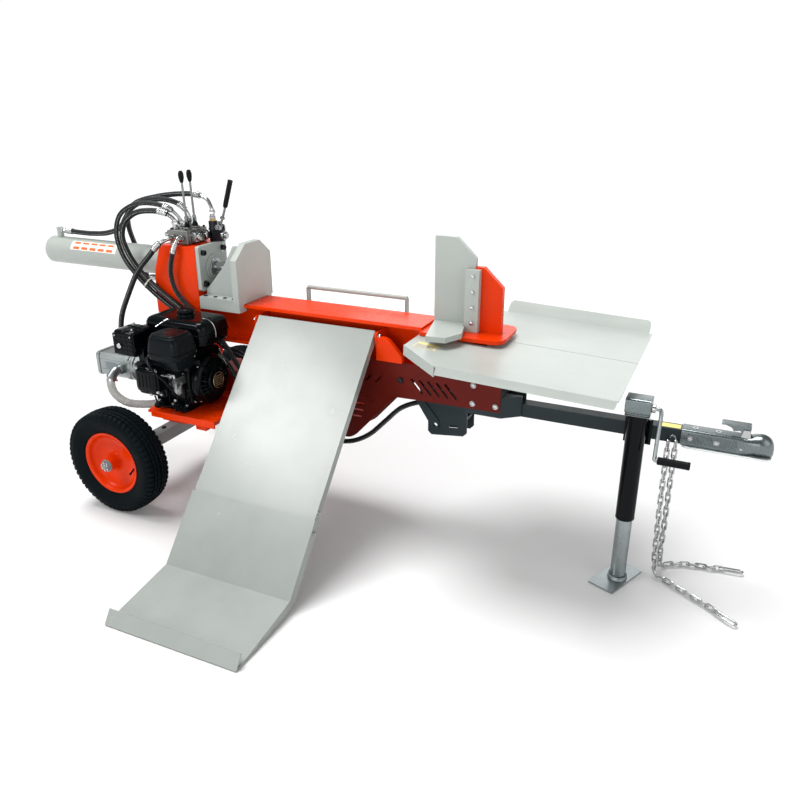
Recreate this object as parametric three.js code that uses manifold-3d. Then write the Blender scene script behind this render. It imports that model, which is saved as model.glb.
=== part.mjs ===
// Towable hydraulic log splitter with a log lift, an outfeed table and a four-way wedge.
// Units are millimetres. While it is built, X runs from the axle towards the coupler, Y from the
// log lift's side to the catch rail's side, and Z up from the ground, with x = 0 at the axle and
// y = 0 in the middle of the beam. The last lines move the origin to the middle of the footprint.
import * as THREE from 'three';
import { mergeVertices } from 'three/addons/utils/BufferGeometryUtils.js';
import Module from 'manifold-3d';

const wasm = await Module();
wasm.setup();

// ---------------------------------------------------------------- driving dimensions
const GAP = 0.3;                 // working gap between pieces that touch
const BEAM_TOP = 772;
const BEAM_HALF = 77;
const BEAM_HEIGHT = 155;
const BEAM_FLANGE = 12;
const BEAM_WEB = 9;
const BEAM_START = -8;
const BEAM_END = 1104.7;

const RAM_Z = 885;               // height of the main cylinder's axis
const BARREL_R = 55;
const BORE_R = 46;
const ROD_R = 18;
const BARREL_START = -610;
const TOWER_FRONT = 195;
const FLANGE_PLATE = 16;
const PUSHER_FACE = 395;
const PUSHER_PLATE = 25;

const TOWER_HALF = 85.5;
const TOWER_PLATE = 8;
const TOWER_TOP = 966;

const AXLE_Z = 205;
const AXLE_TUBE = 50;
const AXLE_HALF = 356;
const SPINDLE_R = 12.4;
const HUB_END = 466;             // how far out each hub reaches
const WHEEL_Y = 408;             // middle of each tyre
const TYRE_R = 205;
const TYRE_HALF = 55;
const WHEEL_SIDES = 24;

const SKIRT_IN = 77.4;
const SKIRT_PLATE = 5;
const BASE_TOP = 764;
const BASE_PLATE = 12;
const BASE_HALF = 100;
const BASE_START = 1105;
const BASE_END = 1390;
const BLADE_HALF = 10;
const WING_Z = 767;               // underside of the blade's wings
const WEDGE_ROD_X = 1225;

const LIFT_X0 = 462;
const LIFT_X1 = 935;
const LIFT_SHEET = 5;
const LIFT_FLANGE = 28;
const LIFT_TOP = [-84, 742];     // y, z of the lift plate's top edge
const LIFT_ANGLE = THREE.MathUtils.degToRad(48.5);
const LIFT_PIVOT = [-81.4, 723.7];

const TABLE_SLOPE = THREE.MathUtils.degToRad(2.32);
const TONGUE_Z = 513.5;
const TONGUE_SIDE = 46;
const TONGUE_END = 1985;

const JACK_X = 1825;
const JACK_Y = -88;
const ENGINE_Y = -220;
const CRANK_Z = 519;
const ENGINE_BASE = 413;

// ---------------------------------------------------------------- materials
const finish = (color, roughness, metalness) =>
  new THREE.MeshStandardMaterial({ color, roughness, metalness });
const paint = {
  orange: () => finish(0xe8401a, 0.38, 0.0),
  grey: () => finish(0xc3cac5, 0.42, 0.0),
  dark: () => finish(0x3f484d, 0.5, 0.1),
  black: () => finish(0x101214, 0.35, 0.0),
  zinc: () => finish(0xb9bcbd, 0.35, 0.9),
  chrome: () => finish(0xd8dadb, 0.12, 1.0),
  alloy: () => finish(0xb4b8b9, 0.45, 0.8),
  rubber: () => finish(0x17181a, 0.8, 0.0),
  clear: () => finish(0xcfd2cc, 0.3, 0.0),
};

// ---------------------------------------------------------------- solid helpers
function solidOf(geometry) {
  const plain = geometry.clone();
  plain.deleteAttribute('normal');
  plain.deleteAttribute('uv');
  const merged = mergeVertices(plain, 1e-3);
  const index = merged.index.array;
  const triangles = [];
  for (let i = 0; i < index.length; i += 3) {
    const [a, b, c] = [index[i], index[i + 1], index[i + 2]];
    if (a !== b && b !== c && c !== a) triangles.push(a, b, c);
  }
  return new wasm.Manifold(new wasm.Mesh({
    numProp: 3,
    vertProperties: new Float32Array(merged.attributes.position.array),
    triVerts: new Uint32Array(triangles),
  }));
}

function geometryOf(solid) {
  const mesh = solid.getMesh();
  const geometry = new THREE.BufferGeometry();
  geometry.setAttribute('position', new THREE.BufferAttribute(mesh.vertProperties, 3));
  geometry.setIndex(new THREE.BufferAttribute(mesh.triVerts, 1));
  geometry.computeVertexNormals();
  return geometry;
}

const join = (...geometries) => geometryOf(geometries.map(solidOf).reduce((a, b) => a.add(b)));
const cut = (body, ...tools) =>
  geometryOf(tools.map(solidOf).reduce((a, b) => a.subtract(b), solidOf(body)));
const common = (a, b) => geometryOf(solidOf(a).intersect(solidOf(b)));

// A box from its low and high corner.
function box(low, high) {
  const size = high.map((value, i) => value - low[i]);
  const middle = high.map((value, i) => (value + low[i]) / 2);
  return new THREE.BoxGeometry(...size).translate(...middle);
}

// An outline with its corners rounded to one radius (or a radius per corner), as a Shape.
function outline(points, radius = 0) {
  const shape = new THREE.Shape();
  const corner = points.map((p) => new THREE.Vector2(...p));
  corner.forEach((here, i) => {
    const before = corner[(i + corner.length - 1) % corner.length];
    const after = corner[(i + 1) % corner.length];
    const room = 0.45 * Math.min(here.distanceTo(before), here.distanceTo(after));
    const r = Math.min(Array.isArray(radius) ? radius[i] : radius, room);
    if (r <= 0) {
      if (i === 0) shape.moveTo(here.x, here.y);
      else shape.lineTo(here.x, here.y);
      return;
    }
    const back = before.clone().sub(here).normalize().multiplyScalar(r).add(here);
    const on = after.clone().sub(here).normalize().multiplyScalar(r).add(here);
    if (i === 0) shape.moveTo(back.x, back.y);
    else shape.lineTo(back.x, back.y);
    shape.quadraticCurveTo(here.x, here.y, on.x, on.y);
  });
  shape.closePath();
  return shape;
}

function extruded(shape, depth, curveSegments = 3) {
  return new THREE.ExtrudeGeometry(shape, { depth, bevelEnabled: false, curveSegments });
}
const basis = (x, y, z) => new THREE.Matrix4().makeBasis(
  new THREE.Vector3(...x), new THREE.Vector3(...y), new THREE.Vector3(...z));
const ALONG_X = basis([0, 1, 0], [0, 0, 1], [1, 0, 0]);
const ALONG_Y = basis([0, 0, 1], [1, 0, 0], [0, 1, 0]);

// A plate in the YZ plane from x0 to x1, its outline given as (y, z).
const plateX = (points, x0, x1, radius = 0) =>
  extruded(outline(points, radius), x1 - x0).applyMatrix4(ALONG_X).translate(x0, 0, 0);
// A plate in the XZ plane from y0 to y1, its outline given as (x, z).
const plateY = (points, y0, y1, radius = 0) =>
  extruded(outline(points.map(([x, z]) => [z, x]), radius), y1 - y0)
    .applyMatrix4(ALONG_Y).translate(0, y0, 0);
// A plate in the XY plane from z0 to z1, its outline given as (x, y).
const plateZ = (points, z0, z1, radius = 0) =>
  extruded(outline(points, radius), z1 - z0).translate(0, 0, z0);

// Round bars along each axis.
const rod = (r, length, sides, r2 = r) => new THREE.CylinderGeometry(r2, r, length, sides);
const rodX = (r, x0, x1, y, z, sides = 16, r2 = r) =>
  rod(r, x1 - x0, sides, r2).rotateZ(-Math.PI / 2).translate((x0 + x1) / 2, y, z);
const rodY = (r, y0, y1, x, z, sides = 16, r2 = r) =>
  rod(r, y1 - y0, sides, r2).translate(x, (y0 + y1) / 2, z);
const rodZ = (r, z0, z1, x, y, sides = 16, r2 = r) =>
  rod(r, z1 - z0, sides, r2).rotateX(Math.PI / 2).translate(x, y, (z0 + z1) / 2);

// A straight bar between two points.
function bar(from, to, r, sides = 10) {
  const a = new THREE.Vector3(...from);
  const b = new THREE.Vector3(...to);
  const turn = new THREE.Quaternion().setFromUnitVectors(
    new THREE.Vector3(0, 1, 0), b.clone().sub(a).normalize());
  const middle = a.clone().add(b).multiplyScalar(0.5);
  return rod(r, a.distanceTo(b), sides).applyQuaternion(turn).translate(...middle.toArray());
}

// A turned piece about an axis along Y, its profile given as (radius, y) and closed by the axis.
const turnedY = (profile, sides) =>
  new THREE.LatheGeometry(profile.map((p) => new THREE.Vector2(...p)), sides);

// A hose or chain tube of one radius along a smooth route.
function along(route, r, steps, sides = 8) {
  const section = new THREE.Shape();
  for (let i = 0; i < sides; i += 1) {
    const angle = (2 * Math.PI * i) / sides;
    const [u, v] = [r * Math.cos(angle), r * Math.sin(angle)];
    if (i === 0) section.moveTo(u, v);
    else section.lineTo(u, v);
  }
  section.closePath();
  const path = new THREE.CatmullRomCurve3(route.map((p) => new THREE.Vector3(...p)), false,
    'centripetal');
  return new THREE.ExtrudeGeometry(section, { steps, extrudePath: path, bevelEnabled: false });
}

const model = new THREE.Group();
function add(name, geometry, material) {
  const mesh = new THREE.Mesh(geometry, material);
  mesh.name = name;
  model.add(mesh);
}

// ---------------------------------------------------------------- beam with the lift's hinge ears
function beam() {
  const low = BEAM_TOP - BEAM_HEIGHT;
  const web = BEAM_WEB / 2;
  const section = [
    [-BEAM_HALF, low], [BEAM_HALF, low], [BEAM_HALF, low + BEAM_FLANGE], [web, low + BEAM_FLANGE],
    [web, BEAM_TOP - BEAM_FLANGE], [BEAM_HALF, BEAM_TOP - BEAM_FLANGE], [BEAM_HALF, BEAM_TOP],
    [-BEAM_HALF, BEAM_TOP], [-BEAM_HALF, BEAM_TOP - BEAM_FLANGE], [-web, BEAM_TOP - BEAM_FLANGE],
    [-web, low + BEAM_FLANGE], [-BEAM_HALF, low + BEAM_FLANGE],
  ];
  const [py, pz] = LIFT_PIVOT;
  const ear = [[0, pz - 60], [-BEAM_HALF, pz - 60], [py - 17, pz - 16], [py - 17, pz + 15],
    [0, pz + 15]];
  const earFaces = [[LIFT_X0 - 12, LIFT_X0 - 4.6], [LIFT_X1 + 4.6, LIFT_X1 + 12]];
  const ears = earFaces.map(([x0, x1]) => plateX(ear, x0, x1, [0, 0, 10, 10, 0]));
  const gusset = plateY([[944, 641], [1042, 641], [1042, 662], [985, 724], [944, 724]], -96, -76,
    [0, 6, 24, 24, 0]);
  const body = join(plateX(section, BEAM_START, BEAM_END), ...ears, gusset);
  return cut(body, rodX(10.4, LIFT_X0 - 20, LIFT_X0, py, pz, 16),
    rodX(10.4, LIFT_X1, LIFT_X1 + 20, py, pz, 16));
}

// ---------------------------------------------------------------- tower, column and engine deck
function frame() {
  const side = [
    [-60, 230.3], [62, 230.3], [112, 420], [188, 610], [TOWER_FRONT - GAP, 700],
    [TOWER_FRONT - GAP, TOWER_TOP], [34, TOWER_TOP], [-2, 870], [-12, 780], [-12, 520], [-60, 300],
  ];
  const inner = TOWER_HALF - TOWER_PLATE;
  const front = plateX([[-inner - 1, BEAM_TOP + 0.5], [inner + 1, BEAM_TOP + 0.5],
    [inner + 1, TOWER_TOP], [-inner - 1, TOWER_TOP]], TOWER_FRONT - 12, TOWER_FRONT - GAP);
  const deckZ = ENGINE_BASE - GAP;
  const parts = [
    plateY(side, -TOWER_HALF, -inner), plateY(side, inner, TOWER_HALF), front,
    box([34, -inner - 1, TOWER_TOP - 8], [TOWER_FRONT - GAP, inner + 1, TOWER_TOP]),
    box([-58, -inner - 1, 230.3], [60, inner + 1, 240]),
    box([-12, -inner - 1, 500], [-4, inner + 1, 600]),
    plateZ([[132, -358], [300, -352], [425, -352], [425, -84.4], [40, -84.4], [108, -250]], deckZ - 8,
    deckZ),
    box([140, -352, deckZ - 26], [425, -346, deckZ - 4]),
    box([298, -300, 342], [344, -84.4, deckZ - 4]),
    box([105, -84.6, deckZ - 22], [298, -78, deckZ]),
  ];
  return cut(join(...parts), rodX(BARREL_R + 0.6, TOWER_FRONT - 20, TOWER_FRONT + 5, 0, RAM_Z, 32));
}

function axle() {
  const half = AXLE_TUBE / 2;
  const tube = box([-half, -AXLE_HALF, AXLE_Z - half], [half, AXLE_HALF, AXLE_Z + half]);
  // A shoulder, the spindle and its nut and washer, listed as radius and how far out each runs.
  const steps = [[20, AXLE_HALF - 1, 361.7], [SPINDLE_R, 360, 468], [24, HUB_END + GAP, HUB_END + 5],
    [17, HUB_END + 4, HUB_END + 9], [9, HUB_END + 8, HUB_END + 16]];
  const ends = [-1, 1].flatMap((s) => steps.map(([r, a, b]) =>
    rodY(r, Math.min(s * a, s * b), Math.max(s * a, s * b), 0, AXLE_Z, 16)));
  return join(tube, ...ends);
}

// A wheel's half sections are (radius, distance outwards from the wheel's middle).
function rim(s) {
  const hub = HUB_END - WHEEL_Y;
  const section = [
    [SPINDLE_R + GAP, hub], [28, hub], [32, 9], [60, 4], [100, 16], [108, 37], [122, 41], [122, 37],
    [113, 35.4], [112.6, 22], [106, 14], [106, -14], [112.6, -22], [113, -35.4], [122, -37],
    [122, -41], [106, -37], [99, 4], [60, -2], [32, 2], [28, -46], [SPINDLE_R + GAP, -46],
  ];
  const profile = section.map(([r, y]) => [r, s * y]);
  profile.push(profile[0]);
  if (s > 0) profile.reverse();
  return turnedY(profile, WHEEL_SIDES).translate(0, s * WHEEL_Y, AXLE_Z);
}

function tyre(s) {
  const outside = [[113, 22.4], [113.4, 35], [124, 36.4], [130, 46], [166, TYRE_HALF], [192, 51],
    [TYRE_R, 24]];
  const inside = [[193, 20], [176, 44], [136, 42]];
  const profile = [...outside.map(([r, y]) => [r, -y]), ...outside.reverse(), ...inside.reverse(),
    ...inside.reverse().map(([r, y]) => [r, -y])];
  profile.push(profile[0]);
  return turnedY(profile, WHEEL_SIDES).translate(0, s * WHEEL_Y, AXLE_Z);
}

// ---------------------------------------------------------------- main cylinder, ram and pusher
function mainCylinder() {
  const flange = plateX([[-83, 803], [83, 803], [83, 970], [-83, 970]],
    TOWER_FRONT, TOWER_FRONT + FLANGE_PLATE, 10);
  const gland = rodX(36, TOWER_FRONT + FLANGE_PLATE - 2, TOWER_FRONT + FLANGE_PLATE + 8, 0, RAM_Z, 24);
  const body = join(rodX(BARREL_R, BARREL_START, TOWER_FRONT + 2, 0, RAM_Z, 32), flange, gland,
    rodZ(13, RAM_Z + 40, RAM_Z + 93, BARREL_START + 42, 0, 12), rodX(11, -570, -546, 0, RAM_Z + 81, 12),
    rodZ(12, RAM_Z - 84, RAM_Z - 50, -40, 0, 12), rodX(11, -60, -38, 0, RAM_Z - 73, 12));
  return cut(body, rodX(BORE_R, BARREL_START + 20, TOWER_FRONT - 8, 0, RAM_Z, 32),
    rodX(ROD_R + 0.5, TOWER_FRONT - 10, TOWER_FRONT + 40, 0, RAM_Z, 24));
}

function ramRod() {
  const end = PUSHER_FACE - PUSHER_PLATE - GAP;
  return join(rodX(ROD_R, BARREL_START + 40, end, 0, RAM_Z, 24),
    rodX(BORE_R - 0.6, BARREL_START + 24, BARREL_START + 64, 0, RAM_Z, 32));
}

function pusher() {
  const back = PUSHER_FACE - PUSHER_PLATE;
  const face = [[-110, 773], [110, 773], [110, 938], [46, 990], [-46, 990], [-110, 938]];
  const gusset = [[215, 789], [back + 1, 789], [back + 1, 980], [350, 980], [300, 900], [232, 824],
    [215, 812]];
  return join(plateX(face, back, PUSHER_FACE),
    box([213, -105, 773], [back + 1, 105, 790]),
    plateY(gusset, -60, -48), plateY(gusset, 48, 60));
}

// Each gib hooks under the beam's top flange. s is the side of the machine.
function gib(s) {
  const hook = [[105, 772.6], [105, 744], [62, 744], [62, 759.4], [77.6, 759.4], [77.6, 772.6]];
  const points = hook.map(([y, z]) => [s * y, z]);
  if (s > 0) points.reverse();
  return plateX(points, 213, PUSHER_FACE - 3);
}

// ---------------------------------------------------------------- wedge, keepers and outfeed table
function wedgeBase() {
  const plate = plateZ([[BASE_START, -BASE_HALF], [BASE_END, -BASE_HALF], [BASE_END, BASE_HALF],
    [BASE_START, BASE_HALF]], BASE_TOP - BASE_PLATE, BASE_TOP, [4, 45, 45, 4]);
  const post = plateY([[1264, BASE_TOP - 1], [1358, BASE_TOP - 1], [1358, 915], [1292, 977],
    [1264, 977]],
    -BLADE_HALF - 0.5, BLADE_HALF + 0.5);
  return cut(join(plate, post), rodZ(12, BASE_TOP - 30, BASE_TOP + 10, WEDGE_ROD_X, 0, 16));
}

const keeper = (s) => box([1237, s > 0 ? 10.8 : -34, BASE_TOP + GAP], [1284, s > 0 ? 34 : -10.8, 970]);

function wedgeBlade() {
  const knife = [[1122, WING_Z], [1263, WING_Z], [1263, 1004], [1196, 1067], [1122, 1067]];
  const wing = [[1122, 0], [1168, 196], [1232, 190], [1262, 122], [1242, 42], [1234, 36], [1234, 0]];
  const both = [-1, 1].map((s) => {
    const points = wing.map(([x, y]) => [x, s * y]);
    if (s < 0) points.reverse();
    return plateZ(points, WING_Z, WING_Z + 18);
  });
  return join(plateY(knife, -BLADE_HALF, BLADE_HALF), ...both,
    rodZ(10, 480, 790, WEDGE_ROD_X, 0, 16));
}

// The wedge's lift cylinder stands in a pair of hanging bracket plates between the skirts.
function wedgeCylinder() {
  const plate = [[1076, 566], [1230, 566], [1262, 520], [1262, 398], [1250, 386], [1132, 372],
    [1118, 384], [1118, 420]];
  const strut = [[1062, 512], [1092, 512], [1160, 432], [1160, 400], [1138, 398]];
  const slot = plateY([[1196, 420], [1230, 424], [1230, 412], [1196, 408]], -60, 60);
  const hole = rodY(8, -60, 60, 1148, 414, 12);
  const body = join(
    plateY(plate, -40, -34), plateY(plate, 34, 40), plateY(strut, -46, -39.5),
    box([1100, -SKIRT_IN + GAP, 560], [1226, SKIRT_IN - GAP, 566]),
    box([1190, -34.5, 442], [1258, 34.5, 452]),
    rodZ(23, 450, 745, WEDGE_ROD_X, 0, 24), rodX(9, 1160, 1206, 0, 480, 12));
  return cut(body, rodZ(19, 456, 738, WEDGE_ROD_X, 0, 24), rodZ(10.6, 734, 760, WEDGE_ROD_X, 0, 16),
    slot, hole);
}

// One half of the outfeed table. s is the side: the lift's side folds down, the other folds up.
function table(s) {
  const top = 0;
  const edge = s * 340;
  // The far flap leans out and up, and the near one hangs almost straight down.
  const out = s * (s < 0 ? 350 : 376);
  const rise = s < 0 ? -24 : 36;
  const sheet = [[-274, s * 84.5], [-274, s * 208], [-116, edge], [423, edge], [423, s * 1.5],
    [-40, s * 1.5], [-40, s * 84.5]];
  const fold = s < 0
    ? [[edge - s * 4, -4], [edge, 0], [out, rise], [out - s * 4, rise]]
    : [[edge - s, -4], [edge - s, 0], [out, rise], [out, rise - 4]];
  const wing = [[-276, s * 208], [-118, s * 342], [-116, s * 338], [-273, s * 205]];
  if (s > 0) {
    sheet.reverse();
    wing.reverse();
    fold.reverse();
  }
  const [start, end] = s < 0 ? [-112, 418] : [-98, 412];
  const [low, high] = s < 0 ? [-25, 1] : [-8, 37];
  // The flap's free corners are rounded off.
  const rounding = plateY([[start, low], [end, low], [end, high], [start, high]],
    Math.min(edge, out) - 10, Math.max(edge, out) + 10, s < 0 ? [4, 20, 0, 0] : [0, 0, 26, 26]);
  const lip = common(plateX(fold, start, end), rounding);
  const flap = plateZ(wing, -34, top);
  return join(plateZ(sheet, -4, top), lip, flap).rotateY(TABLE_SLOPE).translate(1374, 0, 739.5);
}

// ---------------------------------------------------------------- skirts, reservoir, catch rail
function skirt(s) {
  const y0 = s > 0 ? SKIRT_IN : -SKIRT_IN - SKIRT_PLATE;
  const sheet = plateY([[430, 319], [824, 319], [850, 334], [1008, 509], [1073, 511], [1390, 516],
    [1390, 602], [1330, 625], [1290, 734], [1108, 734], [1090, 640],
    [430, 640]], y0, y0 + SKIRT_PLATE,
    [20, 20, 20, 10, 10, 6, 6, 10, 10, 10, 10, 10]);
  const slot = (x, z, length, width, angle) => {
    const u = [Math.cos(angle) * length / 2, Math.sin(angle) * length / 2];
    const v = [-Math.sin(angle) * width / 2, Math.cos(angle) * width / 2];
    const points = [[-1, -1], [1, -1], [1, 1], [-1, 1]].map(([a, b]) => [x + a * u[0] + b * v[0],
      z + a * u[1] + b * v[1]]);
    return plateY(points, y0 - 2, y0 + SKIRT_PLATE + 2);
  };
  const steep = THREE.MathUtils.degToRad(-48);
  const cuts = [];
  for (let i = 0; i < 5; i += 1) cuts.push(slot(1092 + 31 * i, 562, 66, 8, steep));
  for (let i = 0; i < 3; i += 1) cuts.push(slot(868 + 38 * i, 566, 34, 8, -steep));
  for (let i = 0; i < 3; i += 1) cuts.push(slot(860 - 8 * i, 462 - 26 * i, 62, 8, 0));
  cuts.push(rodY(9, y0 - 2, y0 + SKIRT_PLATE + 2, 1030, 576, 12));
  return cut(sheet, ...cuts);
}

function reservoir() {
  const shell = plateX([[-77, 332], [77, 332], [77, 496], [-77, 496]], 226, 838, 14);
  const inside = box([231, -72, 337], [833, 72, 491]);
  const neck = rodZ(22, 495, 520, 350, -40, 16);
  const suction = bar([229, -29, 372], [200, -58, 372], 17, 12);
  const saddle = box([480, -50, 495], [760, 50, BEAM_TOP - BEAM_HEIGHT - GAP]);
  return join(
    cut(join(shell, neck, suction), inside, rodZ(12, 480, 530, 350, -40, 12),
    bar([240, -18, 372], [190, -68, 372], 11, 12)),
    cut(saddle, box([470, -42, 500], [770, 42, 609])));
}

function catchRail() {
  const leg = (x) => [box([x, 126, 700], [x + 6, 150, 806]),
    box([x, BEAM_WEB / 2 + GAP, 690], [x + 6, 150, 714])];
  return join(...leg(538), ...leg(952), rodX(8, 540, 956, 138, 806, 12),
    box([538, BEAM_WEB / 2 + GAP, 690], [958, BEAM_WEB / 2 + GAP + 5, 714]));
}

// ---------------------------------------------------------------- log lift
const liftDir = [-Math.cos(LIFT_ANGLE), -Math.sin(LIFT_ANGLE)];
const liftUp = [-Math.sin(LIFT_ANGLE), Math.cos(LIFT_ANGLE)];
// A point s down the lift's plate from its top edge and h above the plate's face, as (y, z).
const onLift = (s, h) => [
  LIFT_TOP[0] + s * liftDir[0] + h * liftUp[0],
  LIFT_TOP[1] + s * liftDir[1] + h * liftUp[1],
];

function liftUpper() {
  const sheet = [onLift(0, 0), onLift(690, 0), onLift(690, -LIFT_SHEET), onLift(0, -LIFT_SHEET)];
  const web = [onLift(0, -1), onLift(690, -1), onLift(690, -LIFT_FLANGE), onLift(8, -LIFT_FLANGE),
    onLift(0, -22)];
  const lug = [onLift(110, -LIFT_SHEET + 1), onLift(170, -LIFT_SHEET + 1), onLift(156, -58),
    onLift(124, -58)];
  const [py, pz] = LIFT_PIVOT;
  const rib = [onLift(40, -1), onLift(660, -1), onLift(660, -22), onLift(40, -22)];
  return join(plateX(sheet, LIFT_X0, LIFT_X1), plateX(web, LIFT_X0, LIFT_X0 + 4),
    plateX(web, LIFT_X1 - 4, LIFT_X1),
    plateX(lug, 680, 688), plateX(lug, 720, 728), plateX(rib, 560, 566), plateX(rib, 840, 846),
    rodX(10, LIFT_X0 - 11, LIFT_X0 + 30, py, pz, 16), rodX(10, LIFT_X1 - 30, LIFT_X1 + 11, py, pz, 16));
}

function liftLower() {
  const lift = 0.4;
  const bend = [-702, 46];
  const toe = [-976, 6.5];
  const lipTop = [-951, 42];
  const strip = [onLift(673, LIFT_SHEET + lift), bend, toe, lipTop,
    [-956, 45.5], [-984, 5], [-982, 0.8], [-976, 0.6], [-704, 40.5], onLift(673, lift)];
  const under = [onLift(673, LIFT_SHEET), onLift(673, -LIFT_FLANGE - 4), [-679, 20], [-704, 12],
    [-966, 0.8], [-976, 0.8],
    [-976, 5], [-704, 43]];
  const [x0, x1] = [LIFT_X0 - 4.4, LIFT_X1 + 4.4];
  return join(plateX(strip, x0, x1), plateX(under, x0, x0 + 4), plateX(under, x1 - 4, x1));
}

// The lift's cylinder: a barrel on a foot beside the reservoir and a rod that ends between the lugs.
const LIFT_CYL_X = 704;
const LIFT_CYL_BASE = [-112, 336];
const LIFT_CYL_TIP = onLift(140, -44);
const liftCylDir = new THREE.Vector2(...LIFT_CYL_TIP).sub(new THREE.Vector2(...LIFT_CYL_BASE));
const LIFT_CYL_LENGTH = liftCylDir.length();
liftCylDir.normalize();
const onLiftCyl = (t) => [LIFT_CYL_X, LIFT_CYL_BASE[0] + t * liftCylDir.x,
  LIFT_CYL_BASE[1] + t * liftCylDir.y];

function liftBarrel() {
  const eye = rodX(15, LIFT_CYL_X - 12, LIFT_CYL_X + 12, ...LIFT_CYL_BASE, 20);
  const [, portY, portZ] = onLiftCyl(44);
  const body = join(eye, bar(onLiftCyl(10), onLiftCyl(30), 9, 12),
    bar(onLiftCyl(24), onLiftCyl(218), 20, 20),
    rodX(9, LIFT_CYL_X - 36, LIFT_CYL_X - 17, portY, portZ, 12));
  return cut(body, bar(onLiftCyl(36), onLiftCyl(208), 16, 20),
    bar(onLiftCyl(200), onLiftCyl(230), 9.6, 16),
    rodX(8.4, LIFT_CYL_X - 20, LIFT_CYL_X + 20, ...LIFT_CYL_BASE, 16));
}

function liftRod() {
  const [, y, z] = onLiftCyl(LIFT_CYL_LENGTH);
  return join(bar(onLiftCyl(44), onLiftCyl(LIFT_CYL_LENGTH - 6), 9, 16),
    bar(onLiftCyl(40), onLiftCyl(56), 15.5, 20),
    rodX(14, LIFT_CYL_X - 10, LIFT_CYL_X + 10, y, z, 20));
}

// The foot carries the barrel's pin and is bolted to the lift side's skirt.
function liftFoot() {
  const cheek = [[-92, 322], [-128, 322], [-128, 350], [-92, 350]];
  return join(plateX(cheek, LIFT_CYL_X - 22, LIFT_CYL_X - 12.6, 6),
    plateX(cheek, LIFT_CYL_X + 12.6, LIFT_CYL_X + 22, 6),
    rodX(8, LIFT_CYL_X - 24, LIFT_CYL_X + 24, ...LIFT_CYL_BASE, 16),
    box([LIFT_CYL_X - 26, -94, 322], [LIFT_CYL_X + 26, 1 - SKIRT_IN - SKIRT_PLATE, 352]));
}

// ---------------------------------------------------------------- tongue, coupler and jack
function tongueMount() {
  const half = TONGUE_SIDE / 2 + 0.6;
  const arm = (s) => {
    const points = [[1262, s * 77.1], [1392, s * 77.1], [1448, s * (half + 7)], [1448, s * half],
      [1300, s * half], [1300, s * (half + 8)], [1384, s * (half + 8)], [1380, s * 69],
      [1262, s * 69]];
    if (s > 0) points.reverse();
    return plateZ(points, 494, 566);
  };
  return join(arm(1), arm(-1), box([1262, -77.1, 560], [1392, 77.1, 572]));
}

function tongue() {
  const half = TONGUE_SIDE / 2;
  const wall = 4;
  const tube = cut(box([1300, -half, TONGUE_Z - half], [TONGUE_END, half, TONGUE_Z + half]),
    box([1290, -half + wall, TONGUE_Z - half + wall], [2100, half - wall, TONGUE_Z + half - wall]));
  const anchor = rodY(7, -half - 16, half + 10, 1930, TONGUE_Z - 6, 12);
  return join(tube, anchor);
}

function coupler() {
  const half = TONGUE_SIDE / 2 + 0.5;
  const top = TONGUE_Z + half;
  const wall = 5;
  const plan = [[1952, -half - wall], [2130, -half - wall], [2190, -30], [2214, -12], [2214, 12],
    [2190, 30], [2130, half + wall], [1952, half + wall]];
  const body = plateZ(plan, TONGUE_Z - half - 2, top + wall, [0, 8, 14, 14, 14, 14, 8, 0]);
  const hump = new THREE.SphereGeometry(31, 14, 7).scale(1, 1, 0.75).translate(2178, 0, top - 6);
  const rail = box([1958, -12, TONGUE_Z - half - 12], [2196, 12, TONGUE_Z - half - 1]);
  const tubeRoom = box([1940, -half, TONGUE_Z - half], [TONGUE_END + 30, half, top]);
  const neck = box([TONGUE_END + 20, -16, TONGUE_Z - half], [2150, 16, top - 2]);
  const socket = new THREE.SphereGeometry(26, 14, 8).translate(2178, 0, TONGUE_Z - 2);
  const mouth = rodZ(25.5, TONGUE_Z - half - 20, TONGUE_Z - 2, 2178, 0, 14);
  const ears = [-18, 14.4].map((y) => box([2122, y, top], [2142, y + 3.6, top + 28]));
  return cut(join(body, hump, rail, ...ears), tubeRoom, neck, socket, mouth,
    box([2116, -6, top - 4], [2146, 6, top + wall + 2]));
}

function couplerLatch() {
  const z = TONGUE_Z + TONGUE_SIDE / 2 + 5.5;
  const plate = [[2062, z + 30], [2070, z + 24], [2118, z + 20], [2120, z + 4], [2142, z + 4],
    [2146, z + 30], [2148, z + 36], [2064, z + 36]];
  return join(plateY(plate, -4, 4), box([2064, -17, z + 32], [2148, 17, z + 36]),
    rodY(4, -14, 14, 2132, z + 14, 10));
}

function jackBracket() {
  const y0 = -TONGUE_SIDE / 2 - GAP;
  return join(box([JACK_X - 42, y0 - 6, TONGUE_Z - 42], [JACK_X + 42, y0, TONGUE_Z + 42]),
    rodY(26, y0 - 20, y0 - 5, JACK_X, TONGUE_Z, 24));
}

function jackTube() {
  const y1 = -TONGUE_SIDE / 2 - 20.8;
  const shell = rodZ(30, 231, 596, JACK_X, JACK_Y, 24);
  const cap = plateX([[JACK_Y - 31, 594], [JACK_Y + 31, 594], [JACK_Y + 31, 650], [JACK_Y - 31, 650]],
    JACK_X - 38, JACK_X + 38, [2, 2, 10, 10]);
  const mount = box([JACK_X - 22, JACK_Y + 20, TONGUE_Z - 40], [JACK_X + 22, y1, TONGUE_Z + 40]);
  const boss = rodX(13, JACK_X + 36, JACK_X + 50, JACK_Y, 618, 16);
  return cut(join(shell, cap, mount, boss), rodZ(26, 226, 588, JACK_X, JACK_Y, 24));
}

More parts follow.
